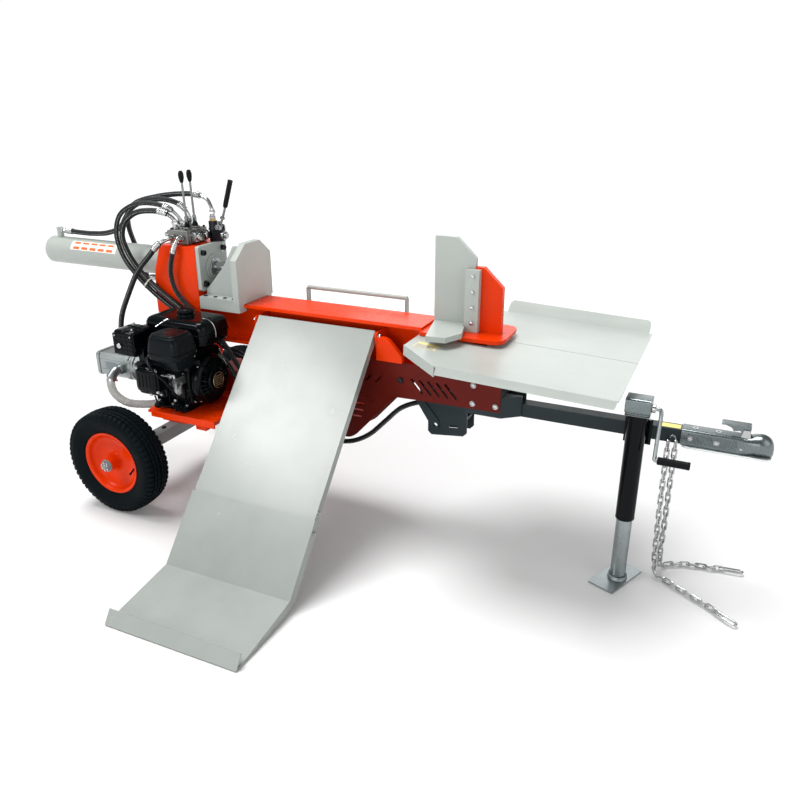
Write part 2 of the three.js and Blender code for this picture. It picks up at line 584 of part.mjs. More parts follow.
function jackLeg() {
  const half = [89, 45];
  const turn = THREE.MathUtils.degToRad(67.2);
  const plate = box([-half[0], -half[1], 0], [half[0], half[1],
    6]).rotateZ(turn).translate(JACK_X - 6, JACK_Y, 0);
  const collar = rodZ(31, 5, 14, JACK_X, JACK_Y, 20, 27);
  return cut(join(rodZ(25, 4, 352, JACK_X, JACK_Y, 24), plate, collar),
    rodZ(21, 30, 400, JACK_X, JACK_Y, 20));
}

function jackCrank() {
  const x = JACK_X + 50 + GAP;
  const arm = [[x, JACK_Y, 618], [x + 12, JACK_Y, 618], [x + 17, JACK_Y - 10, 598],
    [x + 17, JACK_Y - 42, 470]];
  return join(bar(arm[0], arm[1], 6.5), bar([x + 9, JACK_Y, 621], arm[2], 6.5),
    bar(arm[2], arm[3], 6.5),
    rodX(6.4, x + 11, x + 30, JACK_Y - 42, 470, 12), rodX(14, x + 26, x + 120, JACK_Y - 42, 470, 16));
}

// ---------------------------------------------------------------- engine and pump
function engineBlock() {
  const y = ENGINE_Y;
  const sump = plateX([[y - 82, ENGINE_BASE], [y + 82, ENGINE_BASE], [y + 86, ENGINE_BASE + 40],
    [y + 78, 606], [y - 60, 622], [y - 92, 560], [y - 86, ENGINE_BASE + 40]], 132, 288, 8);
  const head = plateX([[y - 40, 600], [y - 62, 512], [y - 165, 494], [y - 188, 520], [y - 186, 604],
    [y - 160, 622]],
    138, 262, 8);
  const cover = plateX([[y - 180, 514], [y - 200, 520], [y - 204, 598], [y - 182, 606]], 150, 246, 6);
  const shroud = plateX([[y - 88, 440], [y + 88, 440], [y + 100, 520], [y + 86, 628], [y - 64, 636],
    [y - 100, 560]], 284, 308, 14);
  const carb = box([255, y - 150, 520], [292, y - 98, 566]);
  const filler = rodX(13, 284, 307.6, y - 72, 448, 12);
  const stand = box([150, y - 62, 600], [280, y + 84, 655]);
  const shaftRoom = rodX(34, 120, 150, y, CRANK_Z, 20);
  return cut(join(sump, head, cover, shroud, carb, filler, stand), shaftRoom,
    rodX(15, 145, 318, y, CRANK_Z, 16));
}

const fuelTank = () => {
  const y = ENGINE_Y;
  const body = plateZ([[92, y - 74], [366, y - 74], [366, y + 96], [92, y + 96]], 655.3, 748, 22);
  return join(body, rodZ(24, 747, 754, 226, y + 16, 20));
};
const fuelCap = () => rodZ(30, 754.4, 774, 226, ENGINE_Y + 16, 20, 27);

function muffler() {
  const y = ENGINE_Y;
  const can = plateX([[y - 190, 630], [y - 82, 630], [y - 82, 726], [y - 190, 726]], 62, 158, 12);
  const pipe = box([150, y - 168, 600], [176, y - 130, 664]);
  const outlet = rodX(10, 52, 64, y - 136, 690, 12);
  return cut(join(can, pipe, outlet), box([80, y - 180, 640], [148, y - 92, 716]),
    rodX(7, 40, 90, y - 136, 690, 10),
    box([120, y - 200, 590], [200, y - 100, 622.3]));
}

function airCleaner() {
  const y = ENGINE_Y;
  const bodyShape = plateZ([[216, y - 206], [352, y - 206], [352, y - 76], [216, y - 76]], 640, 724,
    20);
  const elbow = box([262, y - 150, 566.4], [300, y - 100, 642]);
  const cap = plateZ([[226, y - 196], [342, y - 196], [342, y - 86], [226, y - 86]], 722, 732, 18);
  return cut(join(bodyShape, elbow, cap), box([200, y - 78, 600], [400, y, 800]));
}

function recoilCover() {
  const y = ENGINE_Y;
  const dish = rodX(96, 308.4, 336, y, CRANK_Z, 32);
  const nose = rodX(92, 335, 350, y, CRANK_Z, 32, 66);
  const hub = rodX(30, 349, 360, y, CRANK_Z, 24);
  return cut(join(dish, nose, hub), rodX(84, 300, 332, y, CRANK_Z, 28),
    bar([322, y - 52, CRANK_Z + 58], [322, y - 96, CRANK_Z + 108], 4.6, 10));
}

function recoilHandle() {
  const y = ENGINE_Y;
  const [from, to] = [[322, y - 36, CRANK_Z + 40], [322, y - 84, CRANK_Z + 94.5]];
  return join(bar(from, to, 2.6, 8), bar([300, y - 84, CRANK_Z + 94.5], [344, y - 84, CRANK_Z + 94.5],
    7, 10));
}

function pump() {
  const y = ENGINE_Y;
  const section = [[y - 38, 474], [y + 38, 474], [y + 48, 488], [y + 48, 552], [y + 34, 566],
    [y - 34, 566], [y - 48, 552], [y - 48, 488]];
  const body = join(plateX(section, -184, -24), rodX(58, -26, -14, y, CRANK_Z, 24));
  const bell = cut(rodX(58, -16, 131.7, y, CRANK_Z, 24, 66), rodX(46, -14, 140, y, CRANK_Z, 24));
  const window = box([10, y - 80, 490], [90, y + 80, 550]);
  const suction = rodY(19, y - 66, y - 46, -62, CRANK_Z - 4, 16);
  const outlet = rodZ(13, 564, 584, -96, y + 6, 12);
  return cut(join(body, cut(bell, window), suction, outlet), rodX(14, -40, 0, y, CRANK_Z, 16));
}

const crankshaft = () => join(rodX(12, -36, 305, ENGINE_Y, CRANK_Z, 16),
  rodX(30, 20, 84, ENGINE_Y, CRANK_Z, 16));

const throttle = () => join(rodX(9, 308.6, 312, ENGINE_Y - 112, 590, 12),
  bar([311, ENGINE_Y - 112, 590], [311, ENGINE_Y - 146, 600], 3, 8));
const choke = () => join(rodX(7, 292.6, 297, ENGINE_Y - 126, 540, 12),
  bar([295.5, ENGINE_Y - 126, 540], [295.5, ENGINE_Y - 150, 524], 3, 8));

// ---------------------------------------------------------------- valves and levers
const VALVE_Z = TOWER_TOP + GAP;
const MAIN_VALVE_Y = 47;
function twinValve() {
  const block = box([62, -62, VALVE_Z], [150, 58, VALVE_Z + 56]);
  const inlet = box([40, -50, VALVE_Z + 6], [63, 46, VALVE_Z + 50]);
  const spools = [-26, 20].map((y) => rodX(13, 149, 186, y, VALVE_Z + 30, 14));
  const bonnet = [-26, 20].map((y) => box([108, y - 15, VALVE_Z + 55], [140, y + 15, VALVE_Z + 74]));
  const ports = [[78, -40], [78, -10], [78, 22], [78, 46]].map(([x, y]) => rodZ(10, VALVE_Z + 54,
    VALVE_Z + 70, x, y, 10));
  const side = [84, 124].map((x) => rodY(10, -74, -61, x, VALVE_Z + 26, 10));
  const slots = [-26, 20].map((y) => box([104, y - 5.5, VALVE_Z + 60], [144, y + 5.5, VALVE_Z + 90]));
  return cut(join(block, inlet, ...spools, ...bonnet, ...ports, ...side), ...slots);
}

function mainValve() {
  const body = box([190, MAIN_VALVE_Y - 17, VALVE_Z + 6], [232, MAIN_VALVE_Y + 17, VALVE_Z + 52]);
  const neck = box([172, MAIN_VALVE_Y - 11, VALVE_Z], [194, MAIN_VALVE_Y + 11, VALVE_Z + 40]);
  const fork = [-16, 10].map((y) =>
    box([206, MAIN_VALVE_Y + y, VALVE_Z + 50], [232, MAIN_VALVE_Y + y + 6, VALVE_Z + 70]));
  return join(body, neck, ...fork, rodZ(11, VALVE_Z + 39, VALVE_Z + 106, 188, MAIN_VALVE_Y, 12));
}

// A valve lever: a short foot, a slim rod and a grip.
const lever = (from, to, grip, r) => join(bar(from, to, 4.4, 8), bar(to, grip, r, 10),
  rodY(5, from[1] - 4, from[1] + 4, from[0], from[2], 10));
const twinLever = (y) => lever([124, y, VALVE_Z + 66], [120, y, VALVE_Z + 214],
  [118, y, VALVE_Z + 266], 8.5);
const mainLever = () => lever([220, MAIN_VALVE_Y, VALVE_Z + 60], [246, MAIN_VALVE_Y, VALVE_Z + 122],
  [284, MAIN_VALVE_Y, VALVE_Z + 232], 10);

// ---------------------------------------------------------------- hoses and chains
// Every route is a list of points that the free hose passes through.
const routes = {
  suction_hose: { r: 16, steps: 14, points: [[-62, -286.4, 515], [-62, -300, 515], [-64, -326, 490],
    [-58, -326, 440], [-26, -302, 396], [20, -252, 376], [80, -178, 371], [130, -128, 371],
    [176, -82, 372], [199.6, -58.4, 372]] },
  pressure_hose: { r: 10, steps: 14, points: [[-96, -214, 584.4], [-96, -214, 604], [-90, -202, 700],
    [-66, -172, 790], [-30, -150, 870], [20, -134, 930], [56, -120, 972], [84, -94, 992.3],
    [84, -74.4, 992.3]] },
  return_hose: { r: 10.5, steps: 20, points: [[78, -40, 1036.7], [78, -40, 1052], [50, -52, 1078],
    [-10, -66, 1086], [-70, -82, 1076], [-112, -96, 1042], [-128, -104, 990], [-104, -106, 920],
    [-50, -106, 852], [20, -106, 797], [100, -106, 748], [180, -106, 700], [250, -104, 645],
    [305, -84, 592], [346, -48, 558], [350, -40, 520.4]] },
  rear_hose: { r: 10, steps: 18, points: [[78, 46, 1036.7], [78, 46, 1056], [52, 36, 1096],
    [0, 14, 1118], [-90, -2, 1110], [-156, -6, 1080], [-196, -4, 1040], [-232, -2, 1000],
    [-300, 0, 974], [-390, 0, 964], [-470, 0, 964], [-522, 0, 966], [-545.6, 0, 966]] },
  front_hose: { r: 10, steps: 24, points: [[188, 47, 1072.7], [188, 47, 1090], [168, 50, 1122],
    [120, 52, 1138], [50, 48, 1138], [-60, 40, 1124], [-180, 44, 1092], [-240, 60, 1050],
    [-264, 76, 990], [-252, 84, 920], [-216, 76, 850], [-170, 40, 812], [-130, 10, 806],
    [-90, 0, 811], [-60.4, 0, 812]] },
  lift_hose: { r: 9, steps: 28, points: [[78, -10, 1036.7], [78, -10, 1054], [50, -30, 1092],
    [-10, -48, 1110], [-76, -72, 1106], [-132, -96, 1068], [-154, -106, 996], [-130, -108, 908],
    [-68, -108, 836], [5, -108, 778], [86, -108, 729], [166, -108, 681], [236, -108, 626],
    [290, -106, 562], [322, -104, 530], [356, -118, 498], [430, -124, 452], [520, -124, 424],
    [600, -120, 400], [640, -117.1, 379.7], [667.7, -117.1, 379.7]] },
  wedge_hose: { r: 9, steps: 34, points: [[124, -74.4, 992.3], [124, -88, 992.3], [114, -108, 950],
    [98, -110, 900], [92, -108, 850], [110, -108, 795], [150, -106, 750], [205, -106, 712],
    [262, -104, 668], [312, -102, 608], [356, -102, 544], [402, -100, 476], [450, -98, 400],
    [512, -98, 330], [600, -98, 303], [704, -98, 299], [800, -94, 303], [850, -88, 314],
    [900, -68, 340], [950, -40, 390], [1000, -16, 440], [1060, -4, 468], [1120, 0, 480],
    [1159.6, 0, 480]] },
  chain_long: { r: 9, steps: 22, points: [[1941, -37, 500], [1941, -34, 440], [1942, -26, 320],
    [1943, -10, 180], [1944, 4, 60], [1950, 22, 16], [1980, 50, 12.3], [2040, 73, 12.3],
    [2103, 83, 12.3], [2160, 96, 12.3], [2206, 100, 12.3]] },
  chain_short: { r: 9, steps: 24, points: [[1919, -44, 500], [1920, -46, 440], [1922, -46, 320],
    [1926, -44, 180], [1932, -40, 60], [1944, -42, 16], [1964, -48, 12.3], [2000, -72, 12.3],
    [2056, -107, 12.3], [2103, -136, 12.3], [2150, -170, 12.3], [2196, -202, 12.3]] },
};

// ---------------------------------------------------------------- assembly
add('beam', beam(), paint.orange());
add('frame', frame(), paint.orange());
add('axle', axle(), paint.grey());
for (const [side, s] of [['right', -1], ['left', 1]]) {
  add(`rim_${side}`, rim(s), paint.orange());
  add(`tyre_${side}`, tyre(s), paint.rubber());
  add(`skirt_${side}`, s < 0 ? join(skirt(s), liftFoot()) : skirt(s), paint.orange());
  add(`gib_${side}`, gib(s), paint.grey());
  add(`wedge_keeper_${side}`, keeper(s), paint.grey());
  add(`table_${side}`, table(s), paint.grey());
}
add('main_cylinder', mainCylinder(), paint.grey());
add('ram_rod', ramRod(), paint.chrome());
add('pusher', pusher(), paint.grey());
add('wedge_base', wedgeBase(), paint.orange());
add('wedge_blade', wedgeBlade(), paint.grey());
add('wedge_cylinder', wedgeCylinder(), paint.dark());
add('reservoir', reservoir(), paint.orange());
add('catch_rail', catchRail(), paint.grey());
add('lift_upper', liftUpper(), paint.grey());
add('lift_lower', liftLower(), paint.grey());
add('lift_barrel', liftBarrel(), paint.black());
add('lift_rod', liftRod(), paint.chrome());
add('tongue_mount', tongueMount(), paint.dark());
add('tongue', tongue(), paint.dark());
add('coupler', coupler(), paint.zinc());
add('coupler_latch', couplerLatch(), paint.zinc());
add('jack_bracket', jackBracket(), paint.black());
add('jack_tube', jackTube(), paint.black());
add('jack_leg', jackLeg(), paint.zinc());
add('jack_crank', jackCrank(), paint.black());
add('engine_block', engineBlock(), paint.black());
add('fuel_tank', fuelTank(), paint.black());
add('fuel_cap', fuelCap(), paint.black());
add('muffler', muffler(), paint.black());
add('air_cleaner', airCleaner(), paint.black());
add('recoil_cover', recoilCover(), paint.black());
add('recoil_handle', recoilHandle(), paint.black());
add('throttle_lever', throttle(), paint.zinc());
add('choke_lever', choke(), paint.zinc());
add('crankshaft', crankshaft(), paint.alloy());
add('pump', pump(), paint.alloy());
add('twin_valve', twinValve(), paint.alloy());
add('main_valve', mainValve(), paint.alloy());
add('lift_lever', twinLever(-26), paint.black());
add('wedge_lever', twinLever(20), paint.black());
add('main_lever', mainLever(), paint.black());

// The origin is under the middle of the machine's own box, on the ground, free hoses and chains aside.
const extent = new THREE.Box3().setFromObject(model);
const centre = extent.getCenter(new THREE.Vector3());
for (const [name, { r, steps, points }] of Object.entries(routes)) {
  const look = name.startsWith('chain') ? paint.zinc() : name.startsWith('suction') ? paint.clear()
    : paint.rubber();
  add(name, along(points, r, steps), look);
}
model.position.set(-centre.x, -centre.y, -extent.min.z);

export default model;
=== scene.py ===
import math

import bpy
from mathutils import Matrix, Vector


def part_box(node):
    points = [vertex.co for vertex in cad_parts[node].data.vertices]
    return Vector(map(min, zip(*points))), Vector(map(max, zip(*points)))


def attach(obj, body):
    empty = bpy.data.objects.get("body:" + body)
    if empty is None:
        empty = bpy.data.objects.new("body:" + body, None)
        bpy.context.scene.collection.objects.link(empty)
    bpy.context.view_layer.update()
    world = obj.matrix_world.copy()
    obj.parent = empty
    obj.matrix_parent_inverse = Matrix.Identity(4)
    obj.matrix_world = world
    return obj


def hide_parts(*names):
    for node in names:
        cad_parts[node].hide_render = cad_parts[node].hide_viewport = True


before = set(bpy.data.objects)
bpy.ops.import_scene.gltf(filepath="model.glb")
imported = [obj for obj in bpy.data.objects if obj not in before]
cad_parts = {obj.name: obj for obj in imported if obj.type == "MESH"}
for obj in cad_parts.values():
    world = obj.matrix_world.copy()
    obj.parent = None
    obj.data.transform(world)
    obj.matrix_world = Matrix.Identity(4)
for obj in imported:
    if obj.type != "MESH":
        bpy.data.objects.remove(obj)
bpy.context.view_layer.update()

# ------------------------------------------------------------------ frame of work
# Shapes below are written in the machine's own millimetres: x from the axle towards the coupler,
# y from the beam's middle towards the catch rail, z up from the ground.
MM = 0.001
axle_low, axle_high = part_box("axle")
ORIGIN = Vector(((axle_low[0] + axle_high[0]) / 2, (axle_low[1] + axle_high[1]) / 2, 0.0))


def at(x, y, z):
    """A point of the machine, in its own millimetres, as metres in the shared frame."""
    return Vector((x, y, z)) * MM + ORIGIN


# ------------------------------------------------------------------ camera, floor and lights
def aimed(obj, place, target):
    """Puts a lamp in its place and turns it to its target."""
    obj.location = place
    obj.rotation_euler = (target - place).to_track_quat("-Z", "Y").to_euler()
    return obj


CAMERA_AZIMUTH = math.radians(24.61)
CAMERA_ELEVATION = math.radians(22.18)
camera_data = bpy.data.cameras.new("camera")
camera_data.sensor_width = 36
camera_data.lens = 33.9
camera = bpy.data.objects.new("camera", camera_data)
camera.location = at(2043, -2298, 1495)
camera.rotation_euler = (math.pi / 2 - CAMERA_ELEVATION, 0, CAMERA_AZIMUTH)
bpy.context.collection.objects.link(camera)
bpy.context.scene.camera = camera


def area_light(name, place, target, size, power):
    """A soft box of the given size in metres and power in watts."""
    data = bpy.data.lights.new(name, "AREA")
    data.shape = "RECTANGLE"
    data.size, data.size_y = size
    data.energy = power
    lamp = bpy.data.objects.new(name, data)
    bpy.context.collection.objects.link(lamp)
    return aimed(lamp, place, target)


# The key light stands nearly overhead, two soft boxes light the lift's side and the front, and
# two weak ones fill the far sides.
middle = at(800, -250, 400)
key_data = bpy.data.lights.new("key", "SUN")
key_data.energy = 3.3
key_data.angle = math.radians(30)
key = bpy.data.objects.new("key", key_data)
bpy.context.collection.objects.link(key)
aimed(key, middle + Vector((-0.25, 0.08, 0.96)) * 4, middle)
area_light("softbox_lift_side", at(700, -300, 450) + Vector((-0.51, -0.49, 0.71)) * 3.4,
           at(600, -300, 450), (1.3, 1.0), 44)
area_light("softbox_front", at(900, -3500, 1350), at(700, -100, 750), (2.2, 0.9), 22)
area_light("fill_coupler_end", at(3600, -900, 1900), middle, (2.2, 1.8), 16)
area_light("fill_rail_side", at(700, 3000, 1900), middle, (3.0, 1.6), 22)


def studio_world():
    """A pale studio: white round the horizon and dimmer overhead."""
    made = bpy.data.worlds.new("studio")
    made.use_nodes = True
    nodes, links = made.node_tree.nodes, made.node_tree.links
    direction = nodes.new("ShaderNodeTexCoord").outputs["Generated"]
    split = nodes.new("ShaderNodeSeparateXYZ")
    links.new(direction, split.inputs["Vector"])
    fall = nodes.new("ShaderNodeMapRange")
    fall.interpolation_type = "SMOOTHSTEP"
    links.new(split.outputs["Z"], fall.inputs["Value"])
    for name, value in (("From Min", 0.13), ("From Max", 0.3), ("To Min", 1.02), ("To Max", 0.30)):
        fall.inputs[name].default_value = value
    background = nodes["Background"]
    background.inputs["Color"].default_value = (1.0, 1.0, 1.0, 1)
    links.new(fall.outputs["Result"], background.inputs["Strength"])
    return made


bpy.context.scene.world = studio_world()
bpy.context.scene.view_settings.view_transform = "Standard"


# ------------------------------------------------------------------ materials
class Shader:
    """A small helper that adds nodes to a material and links them."""

    def __init__(self, name):
        self.material = bpy.data.materials.new(name)
        self.material.use_nodes = True
        self.nodes = self.material.node_tree.nodes
        self.links = self.material.node_tree.links
        self.bsdf = self.nodes["Principled BSDF"]
        self.place = self.node("ShaderNodeTexCoord").outputs["Object"]

    def node(self, kind, inputs=(), **settings):
        made = self.nodes.new(kind)
        for key, value in settings.items():
            setattr(made, key, value)
        for key, value in dict(inputs).items():
            if isinstance(value, bpy.types.NodeSocket):
                self.links.new(value, made.inputs[key])
            else:
                made.inputs[key].default_value = value
        return made

    def noise(self, scale, detail=3.0, roughness=0.55, place=None):
        inputs = {"Vector": place or self.place, "Scale": scale, "Detail": detail,
                  "Roughness": roughness}
        return self.node("ShaderNodeTexNoise", inputs).outputs["Fac"]

    def stretched(self, x, y, z):
        inputs = {"Vector": self.place, "Scale": (x, y, z)}
        return self.node("ShaderNodeMapping", inputs).outputs["Vector"]

    def remap(self, value, low, high, to_low, to_high):
        inputs = {"Value": value, "From Min": low, "From Max": high, "To Min": to_low,
                  "To Max": to_high}
        return self.node("ShaderNodeMapRange", inputs).outputs["Result"]

    def maths(self, operation, a, b):
        return self.node("ShaderNodeMath", {0: a, 1: b}, operation=operation).outputs["Value"]

    def mix(self, amount, a, b):
        inputs = {"Factor": amount}
        made = self.node("ShaderNodeMix", inputs, data_type="RGBA")
        for index, value in ((6, a), (7, b)):
            if isinstance(value, bpy.types.NodeSocket):
                self.links.new(value, made.inputs[index])
            else:
                made.inputs[index].default_value = (*value, 1)
        return made.outputs[2]

    def bump(self, height, distance, strength=1.0, before=None):
        inputs = {"Height": height, "Distance": distance, "Strength": strength}
        if before is not None:
            inputs["Normal"] = before
        return self.node("ShaderNodeBump", inputs).outputs["Normal"]

    def edges(self, low, high):
        """0 on flats and 1 on worn outer edges."""
        pointiness = self.node("ShaderNodeNewGeometry").outputs["Pointiness"]
        return self.remap(pointiness, low, high, 0.0, 1.0)

    def set(self, **values):
        for key, value in values.items():
            socket = self.bsdf.inputs[key.replace("_", " ")]
            if isinstance(value, bpy.types.NodeSocket):
                self.links.new(value, socket)
            elif isinstance(value, tuple) and len(value) == 3:
                socket.default_value = (*value, 1)
            else:
                socket.default_value = value
        return self


def shade(colour, factor):
    return tuple(min(1.0, c * factor) for c in colour)


def paint(name, colour, rough, peel=0.25, coat=0.25, dust=0.12, shine=0.4, spread=0.1):
    """Sprayed or powder paint: a light orange peel, uneven gloss, dust, thinner on edges."""
    s = Shader(name)
    cloud = s.noise(5.0, 5.0, 0.6)
    tone = s.mix(s.remap(cloud, 0.35, 0.68, 0, 1), shade(colour, 0.93), shade(colour, 1.05))
    specks = s.remap(s.noise(170.0, 2.0, 0.5), 0.68, 0.8, 0.0, dust)
    tone = s.mix(specks, tone, shade(colour, 1.5))
    tone = s.mix(s.maths("MULTIPLY", s.edges(0.53, 0.62), 0.35), tone, shade(colour, 1.35))
    gloss = s.remap(s.noise(11.0, 6.0, 0.65), 0.3, 0.72, rough - 0.6 * spread, rough + spread)
    waves = s.bump(s.noise(420.0, 2.0), 0.0004, peel)
    s.set(Base_Color=tone, Roughness=gloss,
          Normal=s.bump(s.noise(38.0, 2.0), 0.0006, peel * 0.35, waves))
    s.set(Coat_Weight=coat, Coat_Roughness=0.12, Specular_IOR_Level=shine)
    return s.material


def metal(name, colour, rough, grain=(30, 30, 30), stain=0.12, spangle=0.0):
    """Bare or plated metal with drawn grain, stains and, on zinc, a faint spangle."""
    s = Shader(name)
    streak = s.noise(14.0, 8.0, 0.7, s.stretched(*grain))
    cloud = s.noise(9.0, 4.0, 0.6)
    tone = s.mix(s.remap(cloud, 0.3, 0.7, 0, 1), shade(colour, 1 - stain), shade(colour, 1.06))
    if spangle:
        cells = s.node("ShaderNodeTexVoronoi", {"Vector": s.place, "Scale": 120.0}).outputs["Color"]
        grey = s.node("ShaderNodeSeparateColor", {"Color": cells}).outputs[0]
        tone = s.mix(s.remap(grey, 0, 1, 0, spangle), tone, shade(colour, 0.72))
    tone = s.mix(s.maths("MULTIPLY", s.edges(0.52, 0.6), 0.5), tone, shade(colour, 1.25))
    gloss = s.remap(streak, 0.3, 0.72, rough - 0.07, rough + 0.12)
    s.set(Base_Color=tone, Roughness=gloss, Metallic=1.0, Normal=s.bump(streak, 0.0002, 0.4))
    return s.material


def moulded(name, colour, rough, texture=260.0, depth=0.25, shine=0.12):
    """Moulded plastic or rubber with a fine leathery surface."""
    s = Shader(name)
    cloud = s.noise(7.0, 5.0, 0.6)
    tone = s.mix(s.remap(cloud, 0.3, 0.7, 0, 1), shade(colour, 0.8), shade(colour, 1.3))
    tone = s.mix(s.maths("MULTIPLY", s.edges(0.52, 0.62), 0.4), tone, shade(colour, 2.2))
    gloss = s.remap(s.noise(16.0, 5.0, 0.65), 0.3, 0.72, rough - 0.08, rough + 0.12)
    s.set(Base_Color=tone, Roughness=gloss, Normal=s.bump(s.noise(texture, 3.0), 0.0005, depth))
    s.set(Specular_IOR_Level=shine)
    return s.material


def hose_skin(name, colour):
    """A rubber hose with a cloth wrap's spiral pressed in; u runs in metres, v once round."""
    s = Shader(name)
    uv = s.node("ShaderNodeTexCoord").outputs["UV"]
    split = s.node("ShaderNodeSeparateXYZ", {"Vector": uv})
    along, around = split.outputs["X"], split.outputs["Y"]
    turns = s.maths("ADD", s.maths("MULTIPLY", along, 160.0), around)
    wrap = s.maths("PINGPONG", turns, 0.5)
    ridge = s.remap(wrap, 0.0, 0.12, 0.0, 1.0)
    tone = s.mix(s.remap(s.noise(60.0, 4.0), 0.3, 0.7, 0, 1), shade(colour, 0.75),
                 shade(colour, 1.6))
    line = s.maths("COMPARE", around, 0.31)
    s.nodes[-1].inputs[2].default_value = 0.022
    dashes = s.remap(s.noise(1.0, 2.0, 0.5,
                             s.node("ShaderNodeCombineXYZ",
                                    {"X": s.maths("MULTIPLY", along, 240.0)}).outputs[0]),
                     0.46, 0.5, 0.0, 1.0)
    printed = s.maths("MULTIPLY", s.maths("MULTIPLY", line, dashes), 0.55)
    tone = s.mix(printed, tone, (0.55, 0.55, 0.53))
    fine = s.bump(s.noise(900.0, 2.0), 0.0002, 0.4)
    s.set(Base_Color=tone, Roughness=s.remap(s.noise(25.0, 4.0), 0.3, 0.7, 0.38, 0.6),
          Normal=s.bump(ridge, 0.0004, 0.5, fine), Specular_IOR_Level=0.25)
    return s.material


ORANGE = (0.70, 0.036, 0.0008)
# Painted shade: this darker orange stands for the frame's orange in the shade under the engine.
DECK_PAINTED_SHADE_ORANGE = (0.38, 0.014, 0.002)
# Painted shade: this dark orange stands for the frame's orange in the shade under the table.
SKIRT_PAINTED_SHADE_ORANGE = (0.115, 0.0085, 0.005)
GREY = (0.365, 0.395, 0.37)


def film(name, colour, slot="grey_paint"):
    """A printed label's smooth film."""
    return paint(name, colour, 0.4, peel=0.1, coat=0.1, dust=0.02), slot


LOOKS = {
    "orange": (paint("orange_powder_coat", ORANGE, 0.24, peel=0.3, coat=0.05, dust=0.05, shine=0.1),
               "orange_paint"),
    # Painted shade: the deck's orange is the frame's orange darkened, for the shade under the
    # engine.
    "orange_deck_painted_shade": (paint("deck_painted_shade_paint", DECK_PAINTED_SHADE_ORANGE, 0.3, peel=0.3, coat=0.04, dust=0.05,
                          shine=0.1),
                    "orange_paint"),
    # Painted shade: the skirts' orange is the frame's orange darkened, for the shade under the
    # table.
    "orange_skirt_painted_shade": (paint("skirt_painted_shade_paint", SKIRT_PAINTED_SHADE_ORANGE, 0.3, peel=0.3, coat=0.04, dust=0.05,
                           shine=0.1),
                     "orange_paint"),
    "grey": (paint("grey_powder_coat", GREY, 0.33, peel=0.16, coat=0.04, dust=0.03, shine=0.34,
                   spread=0.04), "grey_paint"),
    # Painted shade: the lift's grey is the tables' grey paint darkened to seven tenths, for how
    # light falls on its sloped face.
    "grey_lift_painted_shade": (paint("lift_painted_shade_paint", shade(GREY, 0.7), 0.24, peel=0.12, coat=0.04, dust=0.03,
                        shine=0.62, spread=0.04),
                  "grey_paint"),
    "grey_satin": (paint("grey_axle_paint", (0.20, 0.215, 0.22), 0.42, peel=0.3, coat=0.05,
                         shine=0.2), "grey_paint"),
    "dark": (paint("slate_powder_coat", (0.022, 0.032, 0.036), 0.36, peel=0.4, coat=0.03, dust=0.05,
                   shine=0.14), "dark_paint"),
    "black": (paint("black_enamel", (0.0012, 0.0024, 0.003), 0.1, peel=0.1, coat=0.1, dust=0.02,
                    shine=0.07),
              "black_paint"),
    "black_satin": (moulded("black_moulding", (0.0028, 0.005, 0.006), 0.24, shine=0.1),
                    "black_plastic"),
    "grip": (moulded("black_grip", (0.005, 0.0062, 0.007), 0.42, 420.0, 0.5, 0.1), "black_plastic"),
    "zinc": (metal("zinc_plate", (0.34, 0.375, 0.38), 0.3, (60, 8, 8), 0.2, 0.35), "zinc_plate"),
    "zinc_dull": (metal("dull_zinc_plate", (0.19, 0.22, 0.225), 0.26, (60, 8, 8), 0.25, 0.35),
                  "zinc_plate"),
    "bright": (metal("bright_fittings", (0.46, 0.47, 0.47), 0.18, (20, 20, 20), 0.15, 0.05),
               "zinc_plate"),
    "rod_steel": (metal("lever_steel", (0.20, 0.21, 0.21), 0.16, (20, 20, 20), 0.15), "chrome_rod"),
    "chrome": (metal("polished_chrome", (0.66, 0.67, 0.68), 0.07, (8, 40, 40), 0.05), "chrome_rod"),
    "alloy": (metal("cast_alloy", (0.33, 0.36, 0.36), 0.34, (12, 12, 12), 0.2), "cast_alloy"),
    "iron": (metal("valve_casting", (0.22, 0.22, 0.21), 0.4, (16, 16, 16), 0.35), "cast_alloy"),
    "hose": (hose_skin("hydraulic_hose", (0.008, 0.010, 0.011)), "hose_rubber"),
    "tyre": (moulded("tyre_rubber", (0.0028, 0.0052, 0.0064), 0.55, 210.0, 0.4, 0.04),
             "tyre_rubber"),
    "socket": (metal("black_oxide", (0.035, 0.035, 0.04), 0.38, (20, 20, 20), 0.2), "black_paint"),
    "gold": (metal("gilt_disc", (0.74, 0.62, 0.34), 0.3, (20, 20, 20), 0.1), "cast_alloy"),
    "strip": (metal("rail_strip", (0.72, 0.75, 0.75), 0.5, (8, 40, 40), 0.05), "zinc_plate"),
    "brass": (metal("brass_ring", (0.55, 0.40, 0.16), 0.3, (20, 20, 20), 0.1), "cast_alloy"),
    "label": film("label_film", (0.72, 0.70, 0.64)),
    "label_orange": film("label_print", (0.72, 0.12, 0.03), "orange_paint"),
    "film_grey": film("grey_film", (0.17, 0.195, 0.22)),
    "label_cream": (paint("cream_film", (0.52, 0.47, 0.33), 0.4, peel=0.1, coat=0.05, dust=0.02,
                          shine=0.2), "grey_paint"),
    "label_yellow": film("label_yellow_film", (0.72, 0.62, 0.16)),
}


